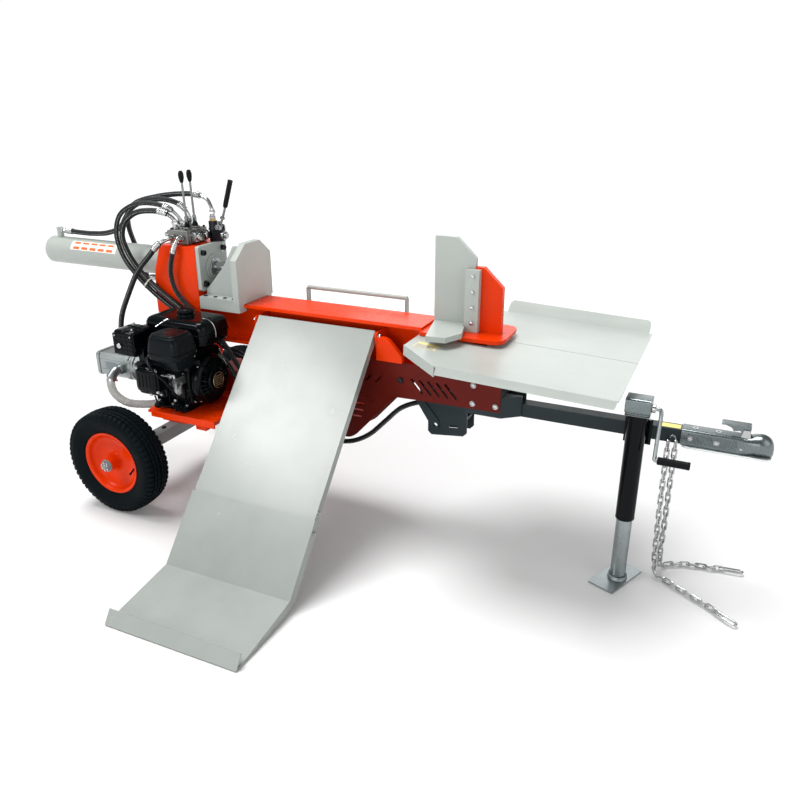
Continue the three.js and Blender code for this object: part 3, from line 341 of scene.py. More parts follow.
def clear_wall():
    """A clear suction hose's wall, a little cloudy."""
    s = Shader("clear_hose_wall")
    uv = s.node("ShaderNodeTexCoord").outputs["UV"]
    split = s.node("ShaderNodeSeparateXYZ", {"Vector": uv})
    turns = s.maths("ADD", s.maths("MULTIPLY", split.outputs["X"], 150.0), split.outputs["Y"])
    wire = s.remap(s.maths("PINGPONG", turns, 0.5), 0.04, 0.16, 0.6, 0.0)
    tone = s.mix(s.remap(s.noise(22.0, 4.0), 0.3, 0.7, 0, 1), (0.50, 0.50, 0.48),
                 (0.66, 0.66, 0.64))
    tone = s.mix(wire, tone, (0.24, 0.24, 0.23))
    s.set(Base_Color=tone, Roughness=s.remap(s.noise(12.0, 3.0), 0.3, 0.7, 0.16, 0.32))
    s.set(Transmission_Weight=0.55, IOR=1.42, Subsurface_Weight=0.0)
    return s.material


LOOKS["clear"] = (clear_wall(), "clear_hose")


def floor_material():
    """A pale floor that glows a little more the farther it is from the machine."""
    s = Shader("studio_floor")
    tone = s.mix(s.remap(s.noise(0.8, 2.0), 0.3, 0.7, 0, 1), (0.60, 0.60, 0.60), (0.62, 0.62, 0.62))
    away = s.node("ShaderNodeVectorMath", {"Vector": s.place}, operation="LENGTH").outputs["Value"]
    glow = s.remap(away, 1.5, 3.6, 0.06, 0.3)
    s.set(Base_Color=tone, Roughness=0.6, Emission_Color=(1.0, 1.0, 1.0), Emission_Strength=glow)
    return s.material


FLOOR_REACH = 30000
FLOOR_DROP = -0.4  # just under the tyres
floor_mesh = bpy.data.meshes.new("floor")
floor_mesh.from_pydata([at(x * FLOOR_REACH, y * FLOOR_REACH, FLOOR_DROP)
                        for x, y in ((-1, -1), (1, -1), (1, 1), (-1, 1))], [], [(0, 1, 2, 3)])
floor = bpy.data.objects.new("floor", floor_mesh)
bpy.context.collection.objects.link(floor)
floor_mesh.materials.append(floor_material())


# ------------------------------------------------------------------ mesh helpers
AXES = {
    "x": Matrix(((0, 0, 1), (1, 0, 0), (0, 1, 0))),
    "y": Matrix(((0, 1, 0), (0, 0, 1), (1, 0, 0))),
    "z": Matrix.Identity(3),
}


def facing(direction):
    """The turn that sends z along a direction."""
    return direction.to_track_quat("Z", "Y").to_matrix()


class Build:
    """Gathers shapes, in machine millimetres, into one mesh."""

    def __init__(self):
        self.verts = []
        self.faces = []
        self.uvs = None

    def add(self, verts, faces):
        base = len(self.verts)
        self.verts += [Vector(v) for v in verts]
        self.faces += [tuple(base + i for i in f) for f in faces]
        return self

    def rings(self, verts, sides, closed=False):
        """Skins between rings of points, with flat ends or joined up into a loop."""
        count = len(verts) // sides
        faces = []
        for i in range(count if closed else count - 1):
            a, b = i * sides, ((i + 1) % count) * sides
            faces += [(a + k, a + (k + 1) % sides, b + (k + 1) % sides, b + k)
                      for k in range(sides)]
        if not closed:
            faces.append(tuple(range(sides))[::-1])
            faces.append(tuple(range((count - 1) * sides, count * sides)))
        return self.add(verts, faces)

    def box(self, low, high):
        (x0, y0, z0), (x1, y1, z1) = low, high
        return self.prism([(x0, y0), (x1, y0), (x1, y1), (x0, y1)], "z", z0, z1)

    def prism(self, outline, axis, start, end):
        """An outline in the two other axes, in x, y, z order, run from start to end."""
        turn = AXES[axis]
        if axis == "y":
            outline = [(b, a) for a, b in outline]
        count = len(outline)
        area = sum(a[0] * b[1] - b[0] * a[1] for a, b in zip(outline, outline[1:] + outline[:1]))
        points = outline if area > 0 else outline[::-1]
        verts = [turn @ Vector((a, b, c)) for c in (start, end) for a, b in points]
        faces = [tuple(range(count))[::-1], tuple(range(count, 2 * count))]
        faces += [(i, (i + 1) % count, count + (i + 1) % count, count + i) for i in range(count)]
        return self.add(verts, faces)

    def lathe(self, profile, centre, axis="z", sides=32, closed=False):
        """Turns (radius, distance along the axis) points about an axis through centre."""
        turn = AXES[axis] if isinstance(axis, str) else axis
        centre = Vector(centre)
        rings = []
        verts = []
        for radius, along in profile:
            if radius < 1e-6:
                rings.append([len(verts)] * sides)
                verts.append(centre + turn @ Vector((0, 0, along)))
                continue
            rings.append(list(range(len(verts), len(verts) + sides)))
            for k in range(sides):
                angle = 2 * math.pi * k / sides
                verts.append(centre + turn @ Vector((radius * math.cos(angle),
                                                     radius * math.sin(angle), along)))
        faces = []
        pairs = list(zip(rings, rings[1:]))
        if closed:
            pairs.append((rings[-1], rings[0]))
        for low, high in pairs:
            for k in range(sides):
                nxt = (k + 1) % sides
                corners = []
                for v in (low[k], low[nxt], high[nxt], high[k]):
                    if v not in corners:
                        corners.append(v)
                if len(corners) > 2:
                    faces.append(tuple(corners))
        if not closed:
            for ring, flip in ((rings[0], True), (rings[-1], False)):
                if len(set(ring)) > 1:
                    faces.append(tuple(ring[::-1] if flip else ring))
        return self.add(verts, faces)

    def bar(self, start, end, radius, sides=16, end_radius=None, chamfer=0.0):
        start, end = Vector(start), Vector(end)
        turn = facing(end - start)
        length = (end - start).length
        top = radius if end_radius is None else end_radius
        if chamfer:
            profile = [(radius - chamfer, 0), (radius, chamfer), (top, length - chamfer),
                       (top - chamfer, length)]
        else:
            profile = [(radius, 0), (top, length)]
        return self.lathe(profile, start, turn, sides)

    def sweep(self, points, radius, sides=12, closed=False):
        """A round tube along points, with one radius or a radius for each point."""
        points = [Vector(p) for p in points]
        count = len(points)
        radii = radius if isinstance(radius, (list, tuple)) else [radius] * count
        tangents = []
        for i in range(count):
            before = points[(i - 1) % count] if closed or i else points[0]
            after = points[(i + 1) % count] if closed or i < count - 1 else points[-1]
            tangents.append((after - before).normalized())
        side = tangents[0].orthogonal().normalized()
        verts = []
        for i, (point, tangent) in enumerate(zip(points, tangents)):
            side = (side - tangent * side.dot(tangent)).normalized()
            other = tangent.cross(side)
            for k in range(sides):
                angle = 2 * math.pi * k / sides
                verts.append(point + (side * math.cos(angle) + other * math.sin(angle)) * radii[i])
        return self.rings(verts, sides, closed)

    def wire(self, points, radius, sides, pieces=8):
        """A round rod that bends smoothly through the points."""
        return self.sweep(smooth_route(points, pieces), radius, sides)

    def hexagon(self, centre, direction, across, height):
        """A hexagon bolt head or nut with a chamfered crown, standing on centre."""
        direction = Vector(direction).normalized()
        turn = facing(direction)
        r = across / math.sqrt(3)
        return self.lathe([(r, 0), (r, height * 0.86), (r * 0.88, height)], centre, turn, 6)

    def bolt(self, centre, direction, size):
        """A hexagon head on a washer, with a domed marking-free top."""
        direction = Vector(direction).normalized()
        turn = facing(direction)
        centre = Vector(centre)
        self.lathe([(size * 1.08, 0), (size * 1.12, size * 0.06), (size * 1.08, size * 0.16)],
                   centre, turn, 24)
        self.hexagon(centre + direction * size * 0.14, direction, size * 1.6, size * 0.62)
        return self.lathe([(size * 0.66, 0), (size * 0.5, size * 0.09), (0, size * 0.11)],
                          centre + direction * size * 0.75, turn, 18)

    def cap_screw(self, centre, direction, radius, height):
        """A socket head cap screw with its hexagon socket sunk in the top."""
        direction = Vector(direction).normalized()
        turn = facing(direction)
        self.lathe([(radius, 0), (radius, height * 0.9), (radius * 0.92, height),
                    (radius * 0.56, height)],
                   centre, turn, 24, closed=False)
        del self.faces[-1]
        rim = len(self.verts) - 24
        hexa = []
        for depth in (0.0, 0.55):
            for k in range(6):
                angle = math.pi * k / 3
                local = Vector((radius * 0.52 * math.cos(angle), radius * 0.52 * math.sin(angle),
                                height * (1 - depth)))
                hexa.append(Vector(centre) + turn @ local)
        base = len(self.verts)
        self.verts += hexa
        for k in range(6):
            nxt = (k + 1) % 6
            self.faces.append((base + k, base + nxt, base + 6 + nxt, base + 6 + k)[::-1])
            arc = [rim + (4 * k + j) % 24 for j in range(5)]
            self.faces.append(tuple(arc) + (base + nxt, base + k))
        self.faces.append(tuple(base + 6 + k for k in range(6)))
        return self

    def make(self, name, look, body="chassis", bevel=0.0, segments=2, smooth=32, replaces=()):
        """The finished piece. bevel is in millimetres."""
        mesh = bpy.data.meshes.new(name)
        mesh.from_pydata([at(*v) for v in self.verts], [], self.faces)
        mesh.validate()
        if self.uvs:
            layer = mesh.uv_layers.new(name="run")
            for loop in mesh.loops:
                layer.data[loop.index].uv = self.uvs[loop.vertex_index]
        mesh.polygons.foreach_set("use_smooth", [True] * len(mesh.polygons))
        mesh.set_sharp_from_angle(angle=math.radians(smooth))
        obj = bpy.data.objects.new(name, mesh)
        bpy.context.collection.objects.link(obj)
        return dressed(obj, look, body, bevel, segments, replaces)


def soften(obj, width, segments=2, angle=32):
    """Rounds the edges sharper than the angle, by a width in millimetres."""
    modifier = obj.modifiers.new("edges", "BEVEL")
    modifier.width = width * MM
    modifier.segments = segments
    modifier.limit_method = "ANGLE"
    modifier.angle_limit = math.radians(angle)
    modifier.harden_normals = True
    modifier.use_clamp_overlap = True


def dressed(obj, look, body, bevel=0.0, segments=2, replaces=()):
    """Gives a piece its finish, the body it rides and the CAD nodes it replaces."""
    material, slot = LOOKS[look]
    obj.data.materials.clear()
    obj.data.materials.append(material)
    if bevel:
        soften(obj, bevel, segments)
    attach(obj, body)
    if replaces:
        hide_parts(*replaces)
    return obj


# ------------------------------------------------------------------ cords
def smooth_route(points, pieces):
    """Points along a centripetal Catmull-Rom curve through the given ones."""
    points = [Vector(p) for p in points]
    first = points[0] * 2 - points[1]
    last = points[-1] * 2 - points[-2]
    line = [first] + points + [last]
    out = []
    for i in range(1, len(line) - 2):
        p0, p1, p2, p3 = line[i - 1:i + 3]
        d0, d1, d2 = (max((b - a).length, 1e-6) ** 0.5 for a, b in ((p0, p1), (p1, p2), (p2, p3)))
        t1 = ((p1 - p0) / d0 - (p2 - p0) / (d0 + d1) + (p2 - p1) / d1) * d1
        t2 = ((p2 - p1) / d1 - (p3 - p1) / (d1 + d2) + (p3 - p2) / d2) * d1
        for k in range(pieces):
            t = k / pieces
            out.append(p1 * (2 * t ** 3 - 3 * t ** 2 + 1) + t1 * (t ** 3 - 2 * t ** 2 + t)
                       + p2 * (-2 * t ** 3 + 3 * t ** 2) + t2 * (t ** 3 - t ** 2))
    out.append(points[-1])
    return out


def run_length(points):
    """The length of a line of points."""
    return sum((b - a).length for a, b in zip(points, points[1:]))


def evened(points, step):
    """The same line with its points a fixed step apart."""
    total = run_length(points)
    count = max(2, round(total / step))
    out = [points[0]]
    walked, index = 0.0, 0
    for k in range(1, count):
        goal = total * k / count
        while (index < len(points) - 2
               and walked + (points[index + 1] - points[index]).length < goal):
            walked += (points[index + 1] - points[index]).length
            index += 1
        a, b = points[index], points[index + 1]
        out.append(a.lerp(b, (goal - walked) / max((b - a).length, 1e-9)))
    out.append(points[-1])
    return out


# Each route is the one that its CAD solid follows, in machine millimetres.
ROUTES = {
    "suction_hose": [(-62, -286.4, 515), (-62, -300, 515), (-64, -326, 490), (-58, -326, 440),
                     (-26, -302, 396), (20, -252, 376), (80, -178, 371), (130, -128, 371),
                     (176, -82, 372), (199.6, -58.4, 372)],
    "pressure_hose": [(-96, -214, 584.4), (-96, -214, 604), (-90, -202, 700), (-66, -172, 790),
                      (-30, -150, 870), (20, -134, 930), (56, -120, 972), (84, -94, 992.3),
                      (84, -74.4, 992.3)],
    "return_hose": [(78, -40, 1036.7), (78, -40, 1052), (50, -52, 1078), (-10, -66, 1086),
                    (-70, -82, 1076), (-112, -96, 1042), (-128, -104, 990), (-104, -106, 920),
                    (-50, -106, 852), (20, -106, 797), (100, -106, 748), (180, -106, 700),
                    (250, -104, 645), (305, -84, 592), (346, -48, 558), (350, -40, 520.4)],
    "rear_hose": [(78, 46, 1036.7), (78, 46, 1056), (52, 36, 1096), (0, 14, 1118), (-90, -2, 1110),
                  (-156, -6, 1080), (-196, -4, 1040), (-232, -2, 1000), (-300, 0, 974),
                  (-390, 0, 964), (-470, 0, 964), (-522, 0, 966), (-545.6, 0, 966)],
    "front_hose": [(188, 47, 1072.7), (188, 47, 1090), (168, 50, 1122), (120, 52, 1138),
                   (50, 48, 1138), (-60, 40, 1124), (-180, 44, 1092), (-240, 60, 1050),
                   (-264, 76, 990), (-252, 84, 920), (-216, 76, 850), (-170, 40, 812),
                   (-130, 10, 806), (-90, 0, 811), (-60.4, 0, 812)],
    "lift_hose": [(78, -10, 1036.7), (78, -10, 1054), (50, -30, 1092), (-10, -48, 1110),
                  (-76, -72, 1106), (-132, -96, 1068), (-154, -106, 996), (-130, -108, 908),
                  (-68, -108, 836), (5, -108, 778), (86, -108, 729), (166, -108, 681),
                  (236, -108, 626), (290, -106, 562), (322, -104, 530), (356, -118, 498),
                  (430, -124, 452), (520, -124, 424), (600, -120, 400), (640, -117.1, 379.7),
                  (667.7, -117.1, 379.7)],
    "wedge_hose": [(124, -74.4, 992.3), (124, -88, 992.3), (114, -108, 950), (98, -110, 900),
                   (92, -108, 850), (110, -108, 795), (150, -106, 750), (205, -106, 712),
                   (262, -104, 668), (312, -102, 608), (356, -102, 544), (402, -100, 476),
                   (450, -98, 400), (512, -98, 330), (600, -98, 303), (704, -98, 299),
                   (800, -94, 303), (850, -88, 314), (900, -68, 340), (950, -40, 390),
                   (1000, -16, 440), (1060, -4, 468), (1120, 0, 480), (1159.6, 0, 480)],
    "chain_long": [(1941, -37, 500), (1941, -34, 440), (1942, -26, 320), (1943, -10, 180),
                   (1944, 4, 60), (1950, 22, 16), (1980, 50, 12.3), (2040, 73, 12.3),
                   (2103, 83, 12.3), (2160, 96, 12.3), (2206, 100, 12.3)],
    "chain_short": [(1919, -44, 500), (1920, -46, 440), (1922, -46, 320), (1926, -44, 180),
                    (1932, -40, 60), (1944, -42, 16), (1964, -48, 12.3), (2000, -72, 12.3),
                    (2056, -107, 12.3), (2103, -136, 12.3), (2150, -170, 12.3), (2196, -202, 12.3)],
}


def hose(name, radius, look="hose", ribs=0.0, necks=(0, 0)):
    """A free hose between two fittings, its skin's u in metres and v once round.

    Necks are how far each end runs thinner inside its fitting's steel neck."""
    line = evened(smooth_route(ROUTES[name], 12), radius * 0.35 if ribs else radius * 0.5)
    sides = 24
    build = Build()
    length = run_length(line)
    radii = []
    for i in range(len(line)):
        distance = length * i / (len(line) - 1)
        thin = distance < necks[0] or distance > length - necks[1]
        radii.append(radius * 0.72 if thin else radius - ribs + ribs * math.sin(math.pi * i / 2))
    build.sweep(line, radii, sides)
    # The tube is opened along its seam only in its uv, which repeats every turn.
    build.uvs = [(MM * length * (i // sides) / (len(line) - 1), abs((i % sides) / sides * 2 - 1))
                 for i in range(len(build.verts))]
    piece = build.make(name + "_tube", look, replaces=(name,))
    return piece


# How far from each end the steel neck of a fitting shows, before its crimped ferrule.
NECKS = {"pressure_hose": (14, 54), "return_hose": (52, 0), "rear_hose": (46, 16),
         "front_hose": (92, 16), "lift_hose": (58, 16), "wedge_hose": (32, 16)}
for hose_name, hose_radius in (("pressure_hose", 10), ("return_hose", 10.5), ("rear_hose", 10),
                               ("front_hose", 10), ("lift_hose", 9), ("wedge_hose", 9)):
    hose(hose_name, hose_radius, necks=NECKS[hose_name])
hose("suction_hose", 15.6, "clear", ribs=0.5)

LINK_PITCH = 27.0
LINK_WIRE = 2.9
LINK_HALF = 7.0


def chain(name):
    """Round steel links, each turned a quarter from the last, ending in a long snap hook."""
    line = evened(smooth_route(ROUTES[name], 16), LINK_PITCH / 2)
    links = Build()
    hook_start = len(line) - 5
    for index, i in enumerate(range(1, hook_start, 2)):
        middle_point = line[i]
        along = (line[i + 1] - line[i - 1]).normalized()
        side = Vector((0, 0, 1)).cross(along)
        side = (side if side.length > 0.2 else Vector((0, 1, 0))).normalized()
        if abs(along.z) < 0.6:
            lean = math.radians(45 if index % 2 else -40)
        else:
            lean = math.radians(90 * (index % 2) + 20)
        side = Matrix.Rotation(lean, 3, along) @ side
        links.sweep(rounded_loop(middle_point, along, side, LINK_PITCH / 2 + LINK_WIRE + 2.6,
                                 LINK_HALF), LINK_WIRE, 10, closed=True)
    end = line[-1]
    along = (line[-1] - line[hook_start]).normalized()
    side = along.cross(Vector((0, 0, 1))).normalized()
    links.sweep(rounded_loop(end - along * 39, along, side, 37, 7.6), 3.1, 12, closed=True)
    links.bar(end - along * 50 + side * 7.6, end - along * 22 + side * 7.6, 3.7, 12, chamfer=0.8)
    piece = links.make(name + "_links", "bright", replaces=(name,))
    return piece


def rounded_loop(centre, along, side, half_length, half_width):
    """A closed oval of wire: two straight runs and two round ends."""
    out, steps = [], 8
    straight = half_length - half_width
    for sign in (1, -1):
        for k in range(steps + 1):
            angle = math.pi * k / steps - math.pi / 2
            ahead = along * (straight + half_width * math.cos(angle))
            local = ahead + side * (half_width * math.sin(angle))
            out.append(Vector(centre) + local * sign)
    return out


chain("chain_long")
chain("chain_short")


# ------------------------------------------------------------------ CAD nodes that keep their shape
def cad(node, look):
    """Gives a CAD node its finish and softened edges."""
    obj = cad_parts[node]
    obj.data.materials.clear()
    obj.data.materials.append(LOOKS[look][0])
    soften(obj, 1.2, 2, 40)


CAD_LOOKS = {
    "orange": ("beam", "frame", "wedge_base"),
    "orange_skirt_painted_shade": ("skirt_right", "skirt_left"),
    "orange_deck_painted_shade": ("reservoir",),
    "grey": ("wedge_keeper_right", "wedge_keeper_left", "catch_rail", "pusher", "gib_right",
             "gib_left", "wedge_blade", "table_right", "table_left", "main_cylinder"),
    "grey_lift_painted_shade": ("lift_upper", "lift_lower"),
    "grey_satin": ("axle",),
    "dark": ("tongue_mount", "tongue", "wedge_cylinder"),
    "black": ("lift_barrel", "jack_bracket"),
    "chrome": ("lift_rod", "ram_rod"),
    "zinc": ("jack_leg",),
    "alloy": ("crankshaft",),
    "bright": ("throttle_lever", "choke_lever"),
}
for look_name, node_names in CAD_LOOKS.items():
    for node_name in node_names:
        cad(node_name, look_name)


# ------------------------------------------------------------------ more shapes
def rounded_rect(low, high, radius, steps=5):
    """Points round a rectangle with rounded corners, anticlockwise."""
    (x0, y0), (x1, y1) = low, high
    radius = min(radius, (x1 - x0) / 2.01, (y1 - y0) / 2.01)
    out = []
    for cx, cy, start in ((x1 - radius, y1 - radius, 0), (x0 + radius, y1 - radius, 90),
                          (x0 + radius, y0 + radius, 180), (x1 - radius, y0 + radius, 270)):
        for k in range(steps + 1):
            angle = math.radians(start + 90 * k / steps)
            out.append((cx + radius * math.cos(angle), cy + radius * math.sin(angle)))
    return out


def loft(build, rings):
    """Skins between rings that each have the same number of points."""
    return build.rings([v for ring in rings for v in ring], len(rings[0]))


def moulded_box(build, low, high, levels, radius, steps=6):
    """A box made of rounded rings; each level is (z, how far in from the box's sides)."""
    rings = []
    for z, inset in levels:
        outline = rounded_rect((low[0] + inset, low[1] + inset), (high[0] - inset, high[1] - inset),
                               max(2.0, radius - inset * 0.3), steps)
        rings.append([(x, y, z) for x, y in outline])
    return loft(build, rings)


def between(points, start, end):
    """The stretch of a line between two distances along it."""
    out = []
    walked = 0.0
    for a, b in zip(points, points[1:]):
        step = (b - a).length
        for goal in (start, end):
            if walked <= goal < walked + step:
                out.append(a.lerp(b, (goal - walked) / step))
        if start < walked + step < end:
            out.append(b)
        walked += step
    return out


CRIMP_LENGTH = 36


def fitting(name, route, back=False, nut=13.5, neck=(6, 44), neck_r=8.2, crimp_r=12.6):
    """A swivel nut, a bent steel neck and a crimped ferrule along the first part of a hose."""
    line = smooth_route(ROUTES[route], 16)
    if back:
        line = line[::-1]
    line = evened(line, 2.0)
    build = Build()
    first = between(line, 0.5, 18)
    build.hexagon(first[0], first[-1] - first[0], nut * 1.75, 12)
    build.sweep(between(line, neck[0], neck[1] + 2), neck_r, 18)
    build.sweep(between(line, 12, 17), nut * 0.76, 18)
    sleeve = between(line, neck[1], neck[1] + CRIMP_LENGTH)
    radii = []
    for i in range(len(sleeve)):
        edge = min(i, len(sleeve) - 1 - i)
        groove = 0.9 if 2 < i < len(sleeve) - 3 and i % 3 == 0 else 0.0
        radii.append(crimp_r - (1.6 if edge == 0 else 0.0) - groove)
    build.sweep(sleeve, radii, 20)
    return build.make(name, "bright", smooth=40)


# ------------------------------------------------------------------ hose fittings, clamps and ties
for hose_name, (start_neck, end_neck) in NECKS.items():
    small = hose_name in ("lift_hose", "wedge_hose")
    crimp_radius = 11.8 if small else 12.6
    fitting(hose_name + "_start_fitting", hose_name, neck=(6, start_neck), crimp_r=crimp_radius,
            neck_r=6.8 if small else 7.6, nut=12.5)
    if end_neck:
        fitting(hose_name + "_end_fitting", hose_name, back=True, neck=(4, end_neck),
                crimp_r=crimp_radius,
                neck_r=6.8 if small else 7.6, nut=11.5)


def band(name, route, distance, radius, width, look, back=False):
    """A flat clamp band round a hose, with its screw housing."""
    line = smooth_route(ROUTES[route], 16)
    line = evened(line[::-1] if back else line, 2.0)
    stretch = between(line, distance, distance + width)
    start, end = stretch[0], stretch[-1]
    axis = (end - start).normalized()
    turn = facing(axis)
    build = Build().lathe([(radius, 0), (radius + 1.1, 0.3), (radius + 1.1, width - 0.3),
                           (radius, width)], start, turn, 36)
    spot = start + axis * width / 2 + turn @ Vector((0, -1, 0)) * (radius + 3.5)
    half_screw = turn @ Vector((9, 0, 0))
    build.bar(spot - half_screw, spot + half_screw, 3.6, 12, chamfer=0.8)
    build.hexagon(spot + half_screw, turn @ Vector((1, 0, 0)), 7, 4)
    return build.make(name, look, smooth=35)


def bundle_tie():
    """A white cable tie round the two hoses that run down the tower's side."""
    upper, lower = (evened(smooth_route(ROUTES[route], 16), 2.0)
                    for route in ("return_hose", "lift_hose"))
    goal = Vector((-20, -106, 826))
    spot = min(upper, key=lambda point: (point - goal).length)
    mate = min(lower, key=lambda point: (point - spot).length)
    across = (mate - spot).normalized()
    centre = (spot + mate) / 2 + across * -0.75
    half = (mate - spot).length / 2
    ahead = upper[upper.index(spot) + 4] - spot
    along = (ahead - across * ahead.dot(across)).normalized()
    out = along.cross(across)
    tie = Build()
    for shift in (-1.4, 0, 1.4):
        tie.sweep(rounded_loop(centre + along * shift, across, out, half + 11.2, 11.4), 1.0, 8,
                  closed=True)
    side = -1 if out.y > 0 else 1
    head = centre + out * side * 12.6
    tie.bar(head - along * 3, head + along * 3, 3.2, 4)
    tie.bar(head, head + out * side * 9 + across * 3, 1.1, 6)
    tie.make("bundle_tie", "label", smooth=35)


bundle_tie()
band("suction_clamp", "suction_hose", 47, 16.2, 10, "bright")
band("tank_clamp", "suction_hose", 12, 16.2, 10, "bright", back=True)
suction_line = evened(smooth_route(ROUTES["suction_hose"], 16), 2.0)
elbow = Build().sweep(between(suction_line, 1, 38), 18.2, 24)
elbow.sweep(between(suction_line, 36, 44), 19.8, 24)
elbow.make("suction_elbow", "alloy", bevel=0.8, smooth=40)

# ------------------------------------------------------------------ wheels
PITCHES = 58  # blocks of tread round each tyre
WHEEL_Y = 408
AXLE_Z = 205


def tyre_profile():
    """Half of the tyre's section: (radius, distance from the middle, depth of sipe, zigzag)."""
    sidewall = [(122.6, 36.8, 0, 0), (125.5, 41.4, 0, 0), (129.0, 44.6, 0, 0), (131.0, 45.2, 0, 0),
                (132.4, 47.0, 0, 0), (134.4, 46.9, 0, 0), (136.0, 46.6, 0, 0), (146.0, 50.6, 0, 0),
                (158.0, 53.6, 0, 0), (168.0, 54.9, 0, 0), (171.0, 54.8, 0, 0), (172.0, 55.0, 0, 0),
                (174.5, 55.0, 0, 0), (175.5, 54.3, 0, 0), (184.0, 53.0, 0, 0),
                (187.0, 52.2, 3.0, 0), (192.0, 51.0, 4.2, 0), (197.5, 47.5, 4.6, 0),
                (200.6, 43.6, 4.6, 0)]
    tread = [(201.6, 35.2, 3.4, 0.9), (196.2, 34.0, 0, 0.9), (196.4, 30.4, 0, 0.9),
             (202.4, 29.4, 2.4, 0.9), (203.4, 20.0, 2.4, -0.9), (197.4, 19.0, 0, -0.9),
             (197.6, 15.6, 0, -0.9), (204.0, 14.6, 2.0, -0.9), (204.8, 6.2, 2.0, 0.9),
             (198.6, 5.2, 0, 0.9), (198.8, 1.6, 0, 0.9)]
    return sidewall + tread


def tyre_mesh(side, sign):
    """A tyre with its tread blocks and the fine cuts between them."""
    half = tyre_profile()
    section = [(r, -y, d, z) for r, y, d, z in half] + [(r, y, d, -z) for r, y, d, z in half[::-1]]
    build = Build()
    centre = Vector((0, sign * WHEEL_Y, AXLE_Z))
    turn = AXES["y"]
    steps = (0.0, 0.13, 0.5, 0.63)
    count = PITCHES * len(steps)
    verts = []
    for r, y, depth, zigzag in section:
        for p in range(PITCHES):
            for j, part in enumerate(steps):
                lag = 0.5 if y > 0 else 0.0
                angle = 2 * math.pi * (p + part + lag + 0.35 * (abs(y) / 55)) / PITCHES
                cut = depth if j == 0 else 0.0
                sway = zigzag * (1 if j in (0, 1) else -1)
                radius = r - cut
                # A sipe across a shoulder bites into the sidewall too.
                width = y - (0.5 * cut * (1 if y > 0 else -1) if abs(y) > 43 else 0.0) + sway
                verts.append(centre + turn @ Vector((radius * math.cos(angle),
                                                     radius * math.sin(angle), width)))
    build.rings(verts, count, closed=True)
    return build.make("tyre_tread_" + side, "tyre", "wheel_" + side, smooth=28,
                      replaces=("tyre_" + side,))


def rim_mesh(side, sign):
    """A pressed rim with its valve stem, bearing seat and spindle nut."""
    body = "wheel_" + side
    outer = [(13.2, 57.5), (22, 57.6), (24.6, 56), (25.2, 52), (25.4, 26), (27.5, 17), (33, 10),
             (42, 5.6), (56, 4), (70, 4.6), (84, 8), (95, 13.4), (103, 19.6), (107.4, 26),
             (109.6, 33), (111.6, 37.2), (115, 39.6), (119.6, 41.4), (122.2, 41.2), (123.2, 39.4),
             (122.2, 37.4), (118.4, 36.2), (114, 35), (113, 31), (112.6, 23), (108, 15), (106, 12)]
    inner = [(106, -12), (108, -15), (112.6, -23), (113, -31), (114, -35), (118.4, -36.2),
             (122.2, -37.4), (123.2, -39.4), (122.2, -41.2), (119.6, -41.4), (115, -39.6),
             (110, -36), (105, -22), (101, 4), (90, 7), (70, 0.6), (56, 0), (42, 0.6), (33, -3),
             (28, -10), (26, -40), (24, -45.6), (13.2, -46)]
    build = Build()
    profile = [(r, sign * y) for r, y in outer + inner]
    build.lathe(profile if sign > 0 else profile[::-1], (0, sign * WHEEL_Y, AXLE_Z), "y", 96,
                closed=True)
    rim = build.make("rim_dish_" + side, "orange", body, smooth=30, replaces=("rim_" + side,))
    out = WHEEL_Y * sign
    # Valve stem, its cap, and a grease cap seat round the spindle nut.
    stem = Build().bar((78, out + sign * 6, AXLE_Z - 22), (88, out + sign * 34, AXLE_Z - 25), 3.6,
                       12, end_radius=3.2)
    stem.bar((88, out + sign * 34, AXLE_Z - 25), (91, out + sign * 42, AXLE_Z - 26), 4.4, 12,
             chamfer=0.8)
    stem.make("valve_stem_" + side, "black_satin", body, smooth=35)
    seat = Build().lathe([(13.4, 57.6 * sign), (23, 57.6 * sign), (23, 59 * sign),
                          (13.4, 59 * sign)][::sign], (0, out, AXLE_Z), "y", 36, closed=True)
    seat.make("bearing_seat_" + side, "bright", body, bevel=0.3)
    nut = Build()
    base = out + sign * 63.2
    nut.hexagon((0, base, AXLE_Z), (0, sign, 0), 33, 5.6)
    for k in range(6):
        angle = math.pi * (k + 0.5) / 3
        spot = Vector((14 * math.cos(angle), 0, AXLE_Z + 14 * math.sin(angle)))
        nut.bar((spot.x * 0.98, base + sign * 5, spot.z), (spot.x, base + sign * 9.8, spot.z), 4.4,
                10)
    nut.bar((0, base, AXLE_Z), (0, base + sign * 10.6, AXLE_Z), 9.3, 20, chamfer=1)
    nut.bar((-20, base + sign * 8.2, AXLE_Z), (20, base + sign * 8.2, AXLE_Z), 1.8, 8)
    nut.make("spindle_nut_" + side, "bright", bevel=0.5)
    return rim


for wheel_side, wheel_sign in (("right", -1), ("left", 1)):
    tyre_mesh(wheel_side, wheel_sign)
    rim_mesh(wheel_side, wheel_sign)

# ------------------------------------------------------------------ engine
ENGINE_Y = -220
CRANK_Z = 519


